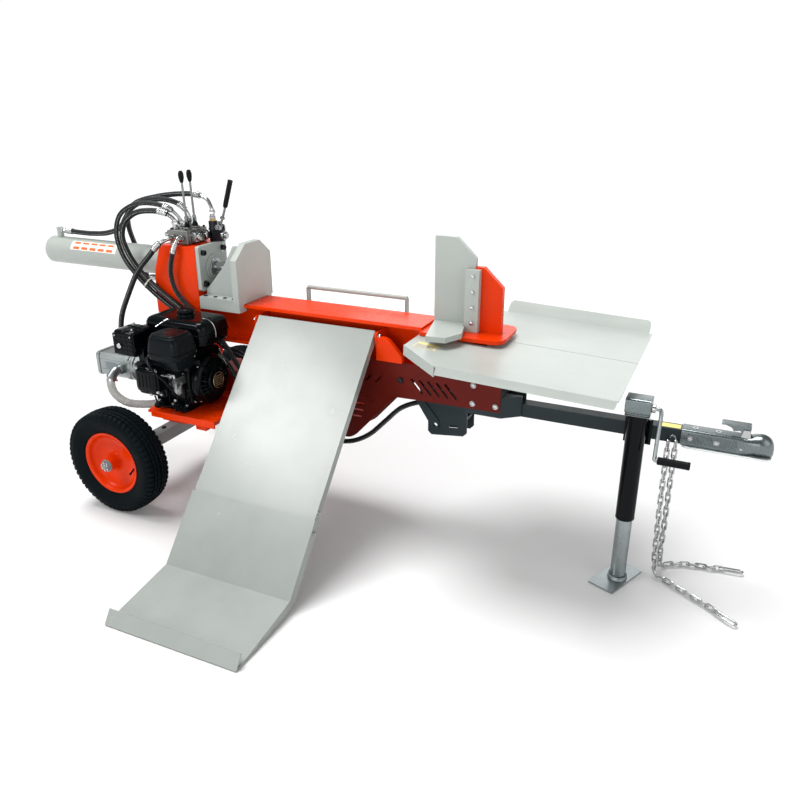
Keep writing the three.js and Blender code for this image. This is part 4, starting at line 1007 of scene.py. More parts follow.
def engine():
    """The crankcase, finned cylinder, covers, bolts, plug lead and mounts."""
    y = ENGINE_Y
    case = Build()
    case.prism([(y - 82, 413), (y + 82, 413), (y + 84, 452), (y + 78, 604), (y - 58, 618),
                (y - 88, 560), (y - 86, 452)], "x", 134, 286)
    case.box((146, y - 96, 413), (274, y + 92, 424))
    for x in (158, 196, 234, 270):
        case.box((x, y - 92, 424), (x + 5, y - 80, 520))
    case.box((150, y - 58, 604), (280, y + 80, 655))
    case.make("crankcase", "black", bevel=5, segments=3, replaces=("engine_block",))
    barrel = Build()
    for k in range(11):
        near = y - 92 - 7.6 * k
        swell = 4 if k in (0, 10) else 0
        barrel.prism(rounded_rect((140 - swell, 498 - swell), (260 + swell, 612 + swell), 14, 4),
                     "y", near - 2.6, near)
    barrel.box((156, y - 174, 512), (246, y - 84, 600))
    barrel.make("cylinder_fins", "black", bevel=0.7, segments=1)
    cover = Build()
    rings = []
    for near, inset in ((y - 176, 0), (y - 190, 0), (y - 191, 4), (y - 198, 5), (y - 202, 9),
                        (y - 204, 16)):
        ring = rounded_rect((512 + inset, 150 + inset), (604 - inset, 248 - inset),
                            18 - inset * 0.4, 6)
        rings.append([(x, near, z) for z, x in ring])
    loft(cover, rings[::-1])
    for x in (172, 188, 204, 220):
        cover.prism([(y - 199, 530), (y - 206, 534), (y - 206, 582), (y - 199, 586)], "x", x, x + 4)
    cover.make("valve_cover", "black", bevel=1.2)
    bolts = Build()
    for x, z in ((157, 519), (241, 519), (157, 597), (241, 597)):
        bolts.bolt((x, y - 190, z), (0, -1, 0), 6)
    for x, z in ((150, 436), (276, 436), (150, 590), (276, 590)):
        bolts.bolt((x, y - 90, z), (0, -1, 0), 6)
    for dy, dz in ((-78, 452), (80, 452), (86, 602), (-60, 622)):
        bolts.bolt((308, y + dy, dz), (1, 0, 0), 5)
    bolts.make("engine_bolts", "bright", smooth=35)
    shroud = Build()
    face = [(y - 88, 440), (y + 88, 440), (y + 97, 480), (y + 100, 520), (y + 96, 590),
            (y + 82, 624), (y - 30, 638), (y - 66, 634), (y - 92, 606), (y - 101, 560),
            (y - 100, 500)]
    shroud.prism(face, "x", 285, 307)
    shroud.make("blower_shroud", "black", bevel=7, segments=4)
    plug = Build()
    plug.bar((205, y - 168, 606), (205, y - 186, 634), 10, 16, end_radius=7.5, chamfer=1.5)
    plug.bar((205, y - 184, 630), (205, y - 176, 640), 9, 16, chamfer=2)
    wire = smooth_route([(205, y - 178, 636), (216, y - 196, 626), (252, y - 206, 600),
                         (282, y - 192, 560), (290, y - 150, 500), (290, y - 110, 470),
                         (292, y - 86, 462)], 8)
    plug.sweep(wire, 3.4, 10)
    plug.make("plug_lead", "black_satin", smooth=40)
    sump = Build()
    for x in (168, 252):
        sump.bar((x, y - 84, 432), (x, y - 108, 430), 13, 24, chamfer=2)
        sump.bar((x, y - 106, 430), (x, y - 118, 429), 10.5, 8, chamfer=1.6)
        sump.box((x - 2.6, y - 126, 422), (x + 2.6, y - 116, 436))
    for x in (146, 270):
        for side in (-104, 88):
            sump.bar((x, y + side + 8, 413.3), (x, y + side + 8, 426), 15, 24, chamfer=2.5)
            sump.hexagon((x, y + side + 8, 426), (0, 0, 1), 17, 8)
    sump.make("oil_plugs_and_mounts", "black_satin", bevel=0.8, smooth=35)
    drain = Build()
    drain.bolt((212, y - 88, 428), (0, -1, 0), 8)
    drain.bar((232, y - 86, 452), (232, y - 100, 452), 5, 12)
    drain.make("drain_bolt", "bright", smooth=35)


engine()


def carburettor():
    """The carburettor with its rods, spring and fuel pipes."""
    y = ENGINE_Y
    body = Build()
    body.box((256, y - 149, 530), (291, y - 99, 564))
    body.bar((273, y - 124, 496), (273, y - 124, 531), 17, 28, end_radius=18.4, chamfer=2.2)
    body.bar((273, y - 124, 488), (273, y - 124, 498), 6, 6)
    body.bar((254, y - 124, 547), (238, y - 124, 547), 15, 24)
    body.bar((286, y - 148, 555), (286, y - 158, 555), 6, 16, chamfer=1)
    body.bar((264, y - 148, 540), (264, y - 155, 540), 4.5, 12)
    body.box((252, y - 156, 560), (290.6, y - 96, 564))
    body.make("carburettor", "alloy", bevel=1.4, smooth=35)
    rods = Build()
    rods.wire([(300, y - 120, 574), (280, y - 158, 576), (236, y - 176, 580), (206, y - 196, 606)],
              1.5, 8)
    rods.wire([(250, y - 160, 552), (226, y - 190, 548), (214, y - 200, 560)], 1.4, 8, 6)
    rods.box((244, y - 163, 568), (300, y - 160, 582))
    rods.prism([(244, 568), (262, 590), (256, 594), (236, 572)], "y", y - 166, y - 164)
    spring = []
    for k in range(97):
        angle = 2 * math.pi * k / 8
        spring.append((250 + k * 0.42, y - 170 + 3.6 * math.cos(angle),
                       578 + 3.6 * math.sin(angle)))
    rods.sweep(spring, 0.7, 6)
    rods.bolt((262, y - 160, 575), (0, -1, 0), 4)
    rods.bolt((290, y - 160, 575), (0, -1, 0), 4)
    for x, z in ((178, 500), (198, 484), (244, 492)):
        rods.bolt((x, y - 178, z + 14), (0, -1, 0), 5)
    rods.make("governor_linkage", "bright", smooth=40)
    pipe = Build()
    pipe.wire([(296, y - 74, 655), (296, y - 96, 626), (294, y - 150, 590), (284, y - 166, 556),
               (276, y - 156, 540)], 3.2, 10)
    pipe.wire([(230, y - 196, 506), (236, y - 186, 470), (246, y - 150, 452), (262, y - 112, 450)],
              3.0, 10)
    pipe.make("fuel_pipe", "black_satin", smooth=40)


carburettor()


def tank_and_filters():
    """The fuel tank, filler cap, air cleaner and muffler."""
    y = ENGINE_Y
    tank = Build()
    low, high = (92, y - 74), (366, y + 96)
    levels = [(655.5, 26), (656.5, 16), (661, 8), (670, 4.5), (690, 3.2), (697, 3), (698, 0.2),
              (702.4, 0.2), (703.4, 3), (715, 3.4), (728, 5), (738, 9), (744, 15), (747, 24),
              (748, 38)]
    moulded_box(tank, low, high, levels, 30, 8)
    neck = (226, y + 16, 0)
    tank.lathe([(34, 745), (33, 750), (28, 752), (26, 754), (10, 754)], neck, "z", 48)
    tank.make("fuel_tank_shell", "black", smooth=40, replaces=("fuel_tank",))
    strap = Build()
    strap.wire([(346, y + 10, 660), (364, y + 2, 690), (362, y - 4, 728), (346, y - 10, 748),
                (330, y - 14, 751), (322, y - 14, 751)], 2.0, 8)
    strap.wire([(212, y - 66, 750), (204, y - 80, 744), (192, y - 92, 734), (186, y - 104, 728)],
               1.8, 8, 6)
    strap.bolt((206, y - 60, 744.6), (0, 0, 1), 5)
    strap.bolt((104, y - 40, 726), (-0.4, 0, 1), 5)
    strap.make("tank_straps", "bright", smooth=40)
    cap = Build()
    rings = []
    for radius, z, flute in ((22, 754.6, 0), (29.6, 754.6, 1.2), (30, 757, 1.8), (30, 765, 1.8),
                             (28.6, 769, 1.2), (25, 771, 0), (21, 771.6, 0), (19.6, 770, 0),
                             (4, 770.4, 0)):
        ring = []
        for k in range(72):
            angle = 2 * math.pi * k / 72
            wave = flute * (1 if (k // 3) % 2 else -0.35)
            ring.append((226 + (radius + wave - 1.8) * math.cos(angle),
                         y + 16 + (radius + wave - 1.8) * math.sin(angle), z))
        rings.append(ring)
    loft(cap, rings)
    cap.prism(rounded_rect((218 - 12, y + 12), (234 + 12, y + 20), 4), "z", 769.6, 773.6)
    cap.make("filler_cap_moulding", "black_satin", "filler_cap", bevel=0.6, smooth=35,
             replaces=("fuel_cap",))

    cleaner = Build()
    low, high = (216, y - 206), (352, y - 78)
    levels = [(640, 10), (643, 5), (652, 4), (653, 1), (664, 0.6), (665.4, 3.4), (668, 3.4),
              (669, 1.2), (700, 5), (716, 8), (723, 12), (726, 18), (727, 24)]
    moulded_box(cleaner, low, high, levels, 24, 7)
    moulded_box(cleaner, (232, y - 192), (336, y - 94),
                [(725, 0), (728.6, 0.4), (731, 2.6), (731.6, 6)], 18, 7)
    cleaner.box((262, y - 150, 566.6), (300, y - 100, 642))
    cleaner.prism([(y - 168, 600), (y - 84, 600), (y - 84, 642), (y - 186, 642)], "x", 240, 330)
    cleaner.make("air_cleaner_box", "black_satin", bevel=1.4, smooth=35,
                 replaces=("air_cleaner",))

    can = Build()
    rings = []
    for x, inset in ((62, 14), (63, 8), (67, 2.5), (74, 0.2), (104, 0), (106, 1.6), (112, 1.6),
                     (114, 0), (147, 0.2), (153, 2.5), (157, 8), (158, 14)):
        ring = rounded_rect((y - 190 + inset, 630 + inset), (y - 82 - inset, 726 - inset),
                            max(4, 18 - inset * 0.3), 6)
        rings.append([(x, a, b) for a, b in ring])
    loft(can, rings)
    can.box((150, y - 166, 604), (176, y - 132, 664))
    can.prism(rounded_rect((y - 172, 596), (y - 126, 612), 6), "x", 158, 170)
    can.make("muffler_can", "black", bevel=1.4, smooth=35, replaces=("muffler",))
    guard = Build()
    for x0 in (70, 92, 114, 136):
        for z0 in (652, 668, 684, 700):
            guard.prism([(x0, z0), (x0 + 15, z0), (x0 + 15, z0 + 3), (x0 + 13, z0 + 7.5),
                         (x0 + 2, z0 + 7.5), (x0, z0 + 3)], "y", y - 193.6, y - 188)
    for y0 in (y - 168, y - 146, y - 124, y - 102):
        for z0 in (648, 664, 680, 696):
            guard.box((58.6, y0 - 8, z0), (64, y0 + 8, z0 + 7))
    guard.box((66, y - 191.6, 640), (154, y - 189, 716))
    guard.make("muffler_guard", "black", bevel=1.0, smooth=35)
    tail = Build()
    tail.bar((66, y - 136, 690), (50, y - 136, 690), 11, 28, chamfer=1.0)
    tail.lathe([(8.2, 0), (8.2, 6)], (51.5, y - 136, 690), "x", 24)
    tail.bar((96, y - 189, 672), (96, y - 199, 672), 9.5, 24, chamfer=1.0)
    for x, near in ((84, y - 100), (136, y - 100), (84, y - 168), (136, y - 168)):
        tail.bolt((x, near, 726), (0, 0, 1), 4.6)
    tail.bolt((146, y - 190.6, 708), (0, -1, 0), 4)
    tail.bolt((76, y - 190.6, 708), (0, -1, 0), 4)
    tail.make("muffler_outlets", "bright", smooth=35)


tank_and_filters()


def recoil():
    """The recoil starter with its ribbed cover, disc and pull grip."""
    y = ENGINE_Y
    z = CRANK_Z
    cover = Build()
    cover.lathe([(84, 308.5), (94, 308.5), (96, 311), (96, 322), (94.6, 328), (91, 334), (86, 338),
                 (80, 341), (76, 341.5), (74, 339), (74, 331), (84, 326)],
                (0, y, z), "x", 72, closed=True)
    cover.lathe([(0, 342), (38, 342), (44, 344), (46, 348), (44.5, 352), (41, 354), (34, 354.6),
                 (31, 353), (0, 353)], (0, y, z), "x", 60)
    ribs, half = 26, 3.3
    for k in range(ribs):
        angle = 2 * math.pi * k / ribs
        corners = []
        for r, a, x in ((43, angle + 0.16, 346), (78, angle, 336)):
            mid = Vector((x, y + r * math.cos(a), z + r * math.sin(a)))
            across = Vector((0, -math.sin(a), math.cos(a)))
            corners += [mid - across * half * r / 78, mid + across * half * r / 78]
        low = [c + Vector((-7, 0, 0)) for c in corners]
        high = [c + Vector((5, 0, 0)) for c in corners]
        cover.add(low + high,
                  [(0, 1, 3, 2), (4, 6, 7, 5), (0, 4, 5, 1), (2, 3, 7, 6), (0, 2, 6, 4),
                   (1, 5, 7, 3)])
    cover.lathe([(58, 336), (62, 335), (62, 345), (58, 346)], (0, y, z), "x", 72, closed=True)
    cover.bar((334, y - 40, z + 46), (330, y - 58, z + 68), 13, 20, end_radius=10, chamfer=2)
    cover.make("recoil_cover_moulding", "black", bevel=0.9, smooth=35,
               replaces=("recoil_cover",))
    back = Build().lathe([(20, 316), (82, 316), (82, 326), (60, 328), (20, 328)], (0, y, z), "x",
                         48, closed=True)
    back.make("recoil_inside", "black_satin")
    disc = Build()
    disc.lathe([(0, 355), (29, 355), (31, 355.6), (32, 357), (31.4, 358.4), (28, 358.4),
                (0, 358.2)], (0, y, z), "x", 56)
    disc.make("recoil_disc", "black_satin", bevel=0.3)
    gilt = Build()
    gilt.lathe([(28, 358), (30.6, 358), (30.6, 359.2), (29.4, 359.6), (28, 359.2)], (0, y, z), "x",
               56, closed=True)
    for row, blocks in ((17, 3), (8.4, 5), (-0.2, 4), (-8.8, 5), (-17.4, 2)):
        reach = math.sqrt(26 ** 2 - row ** 2) - 2
        pitch = 2 * reach / blocks
        for k in range(blocks):
            left = y - reach + k * pitch
            gilt.prism(rounded_rect((left + 0.9, z + row - 2.9),
                                    (left + pitch - 0.9, z + row + 2.9), 1.2),
                       "x", 358, 359.4)
    gilt.make("recoil_gilt_bars", "gold", bevel=0.3)
    screws = Build()
    for k in range(4):
        angle = math.pi * (k + 0.5) / 2
        screws.bolt((324, y + 93 * math.cos(angle), z + 93 * math.sin(angle)), (1, 0, 0), 5)
    screws.make("recoil_screws", "bright", smooth=35)
    grip = Build()
    a, b = Vector((322, y - 36, z + 40)), Vector((322, y - 84, z + 94.5))
    grip.sweep([a.lerp(b, k / 8) for k in range(9)], 2.7, 10)
    grip.sweep([(306 + 42 * (k / 14), b.y, b.z) for k in range(15)],
               [5.4 + 2.4 * math.sin(math.pi * k / 14) ** 0.5 for k in range(15)], 16)
    grip.bar(b + Vector((0, 10, -11)), b, 6.5, 16, end_radius=7.4, chamfer=1.2)
    grip.make("starter_grip_moulding", "grip", "starter_grip", smooth=40,
              replaces=("recoil_handle",))


recoil()


PUMP_Z = 520


def pump_unit():
    """The gear pump, its coupling housing and screws."""
    y = ENGINE_Y
    body = Build()
    section = [(y - 38, 474), (y + 38, 474), (y + 48, 484), (y + 48, 556), (y + 38, 566),
               (y - 38, 566), (y - 48, 556), (y - 48, 484)]
    body.prism(section, "x", -168, -40)
    body.prism([(y + (a - y) * 1.03, PUMP_Z + (b - PUMP_Z) * 1.03) for a, b in section], "x", -184,
               -170)
    body.prism([(y + (a - y) * 1.03, PUMP_Z + (b - PUMP_Z) * 1.03) for a, b in section], "x", -42,
               -24)
    for z0 in (498, 538):
        body.box((-166, y - 50, z0), (-44, y - 47, z0 + 5))
    body.bar((-27, y, CRANK_Z), (-14, y, CRANK_Z), 58, 48, chamfer=2)
    body.bar((-62, y - 46, 515), (-62, y - 66, 515), 20, 28, chamfer=1.2)
    body.bar((-96, y + 6, 564), (-96, y + 6, 583), 13.5, 24, chamfer=1)
    body.make("gear_pump", "alloy", bevel=1.6, smooth=35, replaces=("pump",))
    bell = Build()
    bell.lathe([(46, -14), (58, -14), (58, -4), (52, 2), (52, 8), (46, 8)], (0, y, CRANK_Z), "x",
               60, closed=True)
    bell.lathe([(46, 92), (54, 92), (62, 112), (66, 122), (66, 131.6), (46, 131.6)],
               (0, y, CRANK_Z), "x", 60, closed=True)
    for angle in (45, 135, 225, 315):
        a = math.radians(angle)
        c, s = math.cos(a), math.sin(a)
        bell.prism([(y + 49 * c - 12 * s, CRANK_Z + 49 * s + 12 * c),
                    (y + 56 * c - 12 * s, CRANK_Z + 56 * s + 12 * c),
                    (y + 56 * c + 12 * s, CRANK_Z + 56 * s - 12 * c),
                    (y + 49 * c + 12 * s, CRANK_Z + 49 * s - 12 * c)], "x", 2, 114)
    bell.make("pump_bell", "alloy", bevel=1.2, smooth=35)
    bolts = Build()
    for dy in (-36, 36):
        for dz in (-34, 34):
            bolts.cap_screw((-184, y + dy, PUMP_Z + dz), (-1, 0, 0), 6.4, 7)
    for k in range(4):
        a = math.pi * (k + 0.5) / 2
        bolts.bolt((-14, y + 50 * math.cos(a), CRANK_Z + 50 * math.sin(a)), (1, 0, 0), 5)
    bolts.make("pump_screws", "socket", smooth=35)
    patch = Build().prism(rounded_rect((-140, 506), (-84, 534), 3), "y", y - 48.5, y - 48.1)
    patch.make("pump_plate", "film_grey")


pump_unit()

# ------------------------------------------------------------------ valves and levers
VALVE_Z = 966.3


SPOOLS_Y = (-26, 20)


def valves():
    """The twin valve and the ram valve on the tower."""
    z = VALVE_Z
    body = Build()
    for y0, y1 in ((-62, -47), (-45.6, -5), (-3.6, 36), (37.4, 58)):
        body.box((64, y0, z + 2), (148, y1, z + 54))
    body.box((70, -60, z), (142, 56, z + 50))
    for y0 in SPOOLS_Y:
        body.box((112, y0 - 13, z + 53), (137, y0 + 13, z + 62))
        body.bar((56, y0, z + 30), (66, y0, z + 30), 15, 20)
        body.bar((96, y0, z + 50), (96, y0, z + 60), 9, 16)
    body.box((42, -48, z + 8), (64, 44, z + 48))
    body.make("valve_casting", "iron", bevel=3, segments=3, smooth=35, replaces=("twin_valve",))
    caps = Build()
    for y0 in SPOOLS_Y:
        caps.box((148, y0 - 15.5, z + 13), (172, y0 + 15.5, z + 46))
        caps.bar((170, y0, z + 29.5), (185, y0, z + 29.5), 14.5, 32, chamfer=3)
    for x, y0 in ((78, -40), (78, -10), (78, 22), (78, 46)):
        caps.hexagon((x, y0, z + 54), (0, 0, 1), 23, 9)
        caps.bar((x, y0, z + 62), (x, y0, z + 70), 9.5, 20)
    for x in (84, 124):
        caps.hexagon((x, -62, z + 26), (0, -1, 0), 22, 8)
        caps.bar((x, -69, z + 26), (x, -74, z + 26), 9.5, 20)
    for y0 in (-54, 4, 50):
        caps.bar((40, y0 * 0.86, z + 36), (148, y0 * 0.86, z + 36), 3.4, 10)
    caps.hexagon((78, 22, z + 66), (0, 0, 1), 20, 12)
    caps.hexagon((40, -26, z + 28), (-1, 0, 0), 24, 12)
    caps.hexagon((40, 14, z + 28), (-1, 0, 0), 24, 12)
    caps.bar((28, -26, z + 28), (16, -26, z + 28), 8, 18, chamfer=1)
    caps.bar((28, 14, z + 28), (20, 14, z + 28), 8, 18, chamfer=1)
    caps.make("valve_end_caps", "bright", bevel=1.8, smooth=35)
    screws = Build()
    for y0 in SPOOLS_Y:
        for dz in (18.5, 40.5):
            for dy in (-11, 11):
                screws.cap_screw((172, y0 + dy, z + dz), (1, 0, 0), 2.6, 2.6)
    for x, y0 in ((72, -54), (140, -54), (72, 50), (140, 50)):
        screws.cap_screw((x, y0, z + 54), (0, 0, 1), 5, 6)
    screws.make("valve_screws", "socket", smooth=35)

    main = Build()
    main.box((191, 31, z + 6), (231, 63, z + 51))
    main.box((173, 37, z + 0.2), (194, 57, z + 39))
    main.bar((188, 47, z + 38), (188, 47, z + 80), 17, 32, chamfer=2)
    main.bar((188, 47, z + 44), (188, 47, z + 56), 19, 8, chamfer=2)
    main.make("ram_valve_body", "socket", bevel=2.4, segments=3, smooth=35,
              replaces=("main_valve",))
    ring = Build().bar((188, 47, z + 79), (188, 47, z + 87), 13.4, 6, chamfer=1)
    ring.make("ram_valve_ring", "brass", bevel=0.5)
    link = Build()
    for y0 in (31, 57):
        link.prism([(206, z + 50), (232, z + 50), (232, z + 60), (226, z + 68), (212, z + 68),
                    (206, z + 60)], "y", y0, y0 + 6)
    link.bar((220, 28, z + 60), (220, 66, z + 60), 4, 14)
    link.bolt((220, 30, z + 60), (0, -1, 0), 5)
    link.bar((231, 47, z + 28), (240, 47, z + 28), 18, 36, chamfer=2)
    link.bar((240, 47, z + 28), (250, 47, z + 28), 12, 28, chamfer=2)
    for k in range(4):
        a = math.pi * (k + 0.5) / 2
        link.bolt((240, 47 + 14 * math.cos(a), z + 28 + 14 * math.sin(a)), (1, 0, 0), 3)
    link.bar((188, 47, z + 86), (188, 47, z + 106), 9.5, 24, chamfer=1)
    link.hexagon((188, 47, z + 88), (0, 0, 1), 22, 10)
    link.make("ram_valve_link", "bright", bevel=1.0, smooth=35)


valves()


def levers():
    """The three control levers with their knobs, boots and grip."""
    z = VALVE_Z
    for node, body, y0 in (("lift_lever", "lift_control", -26),
                           ("wedge_lever", "wedge_control", 20)):
        rod = Build()
        rod.sweep([Vector((124, y0, z + 60)).lerp(Vector((119.6, y0, z + 226)), k / 6)
                   for k in range(7)], 4.3, 16)
        rod.hexagon((123.2, y0, z + 92), (-0.02, 0, 1), 14, 9)
        rod.box((118, y0 - 4.4, z + 62), (130, y0 + 4.4, z + 92))
        rod.bar((124, y0 - 8, z + 70), (124, y0 + 8, z + 70), 3, 12)
        rod.make(node + "_rod", "rod_steel", body, bevel=0.6, smooth=35, replaces=(node,))
        knob = Build()
        profile = [(0, 0), (5, 0.6), (6.4, 4), (8.2, 10), (9.6, 17), (10.2, 25), (9.8, 33), (8, 39),
                   (4.8, 43), (0, 44)]
        lean = facing(Vector((-0.027, 0, 1)).normalized())
        knob.lathe(profile, (119.5, y0, z + 222), lean, 28)
        boot = [(12.4, 60.6), (12.6, 63), (10.4, 64.4), (12.0, 66.4), (9.8, 68), (11, 70),
                (8.6, 72), (9.6, 74), (7.4, 76), (6.4, 80), (5.4, 83)]
        knob.lathe([(r, a + z) for r, a in boot], (124, y0, 0), "z", 28)
        knob.make(node + "_knob", "grip", body, smooth=45)
    rod = Build()
    a, b, c = Vector((220, 47, z + 60)), Vector((246, 47, z + 122)), Vector((284, 47, z + 232))
    rod.sweep([a, a.lerp(b, 0.5), b, b.lerp(c, 0.12), b.lerp(c, 0.4), b.lerp(c, 0.5)], 4.6, 18)
    rod.box((213, 43, z + 54), (227, 51, z + 80))
    rod.hexagon(a.lerp(b, 0.46), b - a, 16, 9)
    rod.make("main_lever_rod", "rod_steel", "ram_control", bevel=0.8, smooth=35,
             replaces=("main_lever",))
    grip = Build()
    turn = facing((c - b).normalized())
    length = (c - b).length
    start = 0.1 * length
    profile = [(0, start), (7.6, start), (8.6, start + 1.5), (8.9, start + 4)]
    for k in range(9):
        mark = start + 8 + k * (length - start - 18) / 9
        profile += [(9.1, mark), (9.6, mark + 2), (9.6, mark + 7), (9.1, mark + 9)]
    profile += [(9.4, length - 6), (9.8, length - 3), (9.2, length - 0.8), (6, length), (0, length)]
    grip.lathe(profile, b, turn, 28)
    grip.make("main_lever_grip", "grip", "ram_control", smooth=40)


levers()

# ------------------------------------------------------------------ ram, pusher, wedge hardware
RAM_Z = 885
FLANGE_SCREWS = [(y, z) for y in (-60, 60) for z in (828, 945)]
screws = Build()
for sy, sz in FLANGE_SCREWS:
    screws.cap_screw((211, sy, sz), (1, 0, 0), 10.5, 12)
screws.make("flange_screws", "socket", bevel=0.4, smooth=35)
washers = Build()
for sy, sz in FLANGE_SCREWS:
    washers.lathe([(7, 0), (14, 0), (14, 1.6), (7, 1.6)], (211.2, sy, sz), "x", 28, closed=True)
washers.make("flange_washers", "bright", bevel=0.3)
gland = Build()
gland.lathe([(30, 211.3), (46, 211.3), (47, 212.3), (46.4, 215.4), (44, 216), (31, 216)],
            (0, 0, RAM_Z), "x", 72, closed=True)
gland.make("gland_ring", "grey", bevel=0.3)
seal = Build()
seal.lathe([(18.6, 219.2), (30, 219.2), (31, 220.4), (30.4, 223), (26, 224.4), (19.6, 224.4),
            (18.6, 223)], (0, 0, RAM_Z), "x", 60, closed=True)
seal.make("rod_seal", "alloy", bevel=0.3)

studs = Build()
for sy in (-88, 88):
    for sx in (230, 274, 317, 357):
        studs.cap_screw((sx, sy, 788), (0, 0, 1), 8, 4.4)
studs.make("pusher_screws", "socket", "ram", bevel=0.3, smooth=35)

fasteners = Build()
for bz in (796, 847, 898, 949):
    fasteners.bolt((1262, -34, bz), (0, -1, 0), 8)
    fasteners.bolt((1262, 34, bz), (0, 1, 0), 8)
for s in (-1, 1):
    wall = s * 82.4
    for bx, bz in ((1295, 598), (1294, 533), (1374, 535)):
        fasteners.bolt((bx, wall, bz), (0, s, 0), 9)
    fasteners.bolt((1120, wall, 690), (0, s, 0), 8)
    fasteners.bolt((1262, wall, 690), (0, s, 0), 8)
for px, direction in ((449.6, -1), (947.4, 1)):
    fasteners.bolt((px, -81.4, 723.7), (direction, 0, 0), 11)
fasteners.bolt((704 - 24, -112, 336), (-1, 0, 0), 8)
fasteners.bolt((704 + 24, -112, 336), (1, 0, 0), 8)
fasteners.make("zinc_fasteners", "bright", smooth=35)
dark_bolts = Build()
dark_bolts.bolt((1030, -82.4, 576), (0, -1, 0), 10)
dark_bolts.bolt((1030, 82.4, 576), (0, 1, 0), 10)
for bx in (150, 276, 400):
    dark_bolts.bolt((bx, -120, 412.6), (0, 0, 1), 8)
for s in (-1, 1):
    for bx, bz in ((-40, 262), (44, 262)):
        dark_bolts.bolt((bx, s * 85.5, bz), (0, s, 0), 8)
    dark_bolts.bolt((0, s * 150, 230), (0, 0, 1), 9)
dark_bolts.make("dark_fasteners", "socket", smooth=35)

# ------------------------------------------------------------------ jack
JACK_X, JACK_Y = 1825, -88


def jack():
    """The front jack: sleeve, mount, cap, crank and foot weld."""
    x, y = JACK_X, JACK_Y
    tube = Build()
    tube.lathe([(26, 232), (28.4, 231.2), (30, 233), (30, 238), (29.6, 240), (29.6, 594),
                (26, 594)], (x, y, 0), "z", 64, closed=True)
    tube.make("jack_sleeve", "black", "jack", smooth=35, replaces=("jack_tube",))
    mount = Build()
    mount.box((x - 22, y + 26, 473.5), (x + 22, y + 44, 553.5))
    mount.bar((x, y + 30, 513.5), (x, y + 44, 513.5), 24, 36, chamfer=1.5)
    mount.make("jack_mount", "black", "jack", bevel=2, smooth=35)
    cap = Build()
    cap.prism(rounded_rect((y - 31, 602), (y + 31, 650), 9, 6), "x", x - 38, x + 38)
    for low, high, out in ((594, 598, 1.4), (599, 604, 0.4), (605, 608.4, 1.2)):
        cap.prism(rounded_rect((x - 36 - out, y - 30 - out), (x + 36 + out, y + 30 + out), 9, 5),
                  "z", low, high)
    cap.make("jack_cap", "zinc_dull", "jack", bevel=2.4, segments=3, smooth=35)
    trim = Build()
    trim.bar((x + 37.8, y, 618), (x + 49.8, y, 618), 13, 32, chamfer=1.5)
    trim.bar((x - 37.8, y, 618), (x - 37.9 - 3, y, 618), 11, 32, chamfer=1)
    for dz in (-20, 20):
        trim.bar((x + 37.8, y - 20, 610 + dz), (x + 40, y - 20, 610 + dz), 3.4, 16)
    trim.make("jack_boss", "bright", "jack", bevel=0.5, smooth=35)
    crank = Build()
    path = [(x + 50.4, y, 618), (x + 58, y, 618), (x + 64, y - 1.6, 616), (x + 67, y - 6, 607),
            (x + 67.4, y - 10, 594), (x + 67.4, y - 39, 480), (x + 68, y - 41.4, 472),
            (x + 72, y - 42, 470), (x + 80, y - 42, 470), (x + 96, y - 42, 470)]
    crank.wire(path, 6.2, 18)
    crank.make("crank_rod", "zinc", "crank", smooth=45, replaces=("jack_crank",))
    grip = Build()
    start, end = x + 76, x + 170
    profile = [(6.6, start), (10.4, start), (12.0, start + 1.4), (12.4, start + 4)]
    for k in range(12):
        mark = start + 7 + 6.6 * k
        profile += [(12.4, mark), (11.5, mark + 1.2), (11.5, mark + 2.4), (12.4, mark + 3.6)]
    profile += [(12.4, end - 5), (12.0, end - 1.6), (10.2, end), (6.6, end)]
    grip.lathe(profile, (0, y - 42, 470), "x", 32)
    grip.make("crank_grip", "grip", "crank", smooth=40)
    weld = Build()
    weld.lathe([(25.2, 13), (26.6, 16.5), (29, 15.4), (30.8, 12), (31.6, 7), (32, 6.2),
                (25.2, 6.2)], (x, y, 0), "z", 48, closed=True)
    ring = []
    for k in range(72):
        a = 2 * math.pi * k / 72
        ring.append((x + 28.4 * math.cos(a), y + 28.4 * math.sin(a), 14.6 + 0.9 * (k % 3)))
    weld.sweep(ring, 2.4, 8, closed=True)
    weld.make("foot_weld", "zinc", "jack_foot", smooth=40)


jack()


# ------------------------------------------------------------------ coupler and latch
COUPLER_HALF = 28.5
COUPLER_TOP = 542


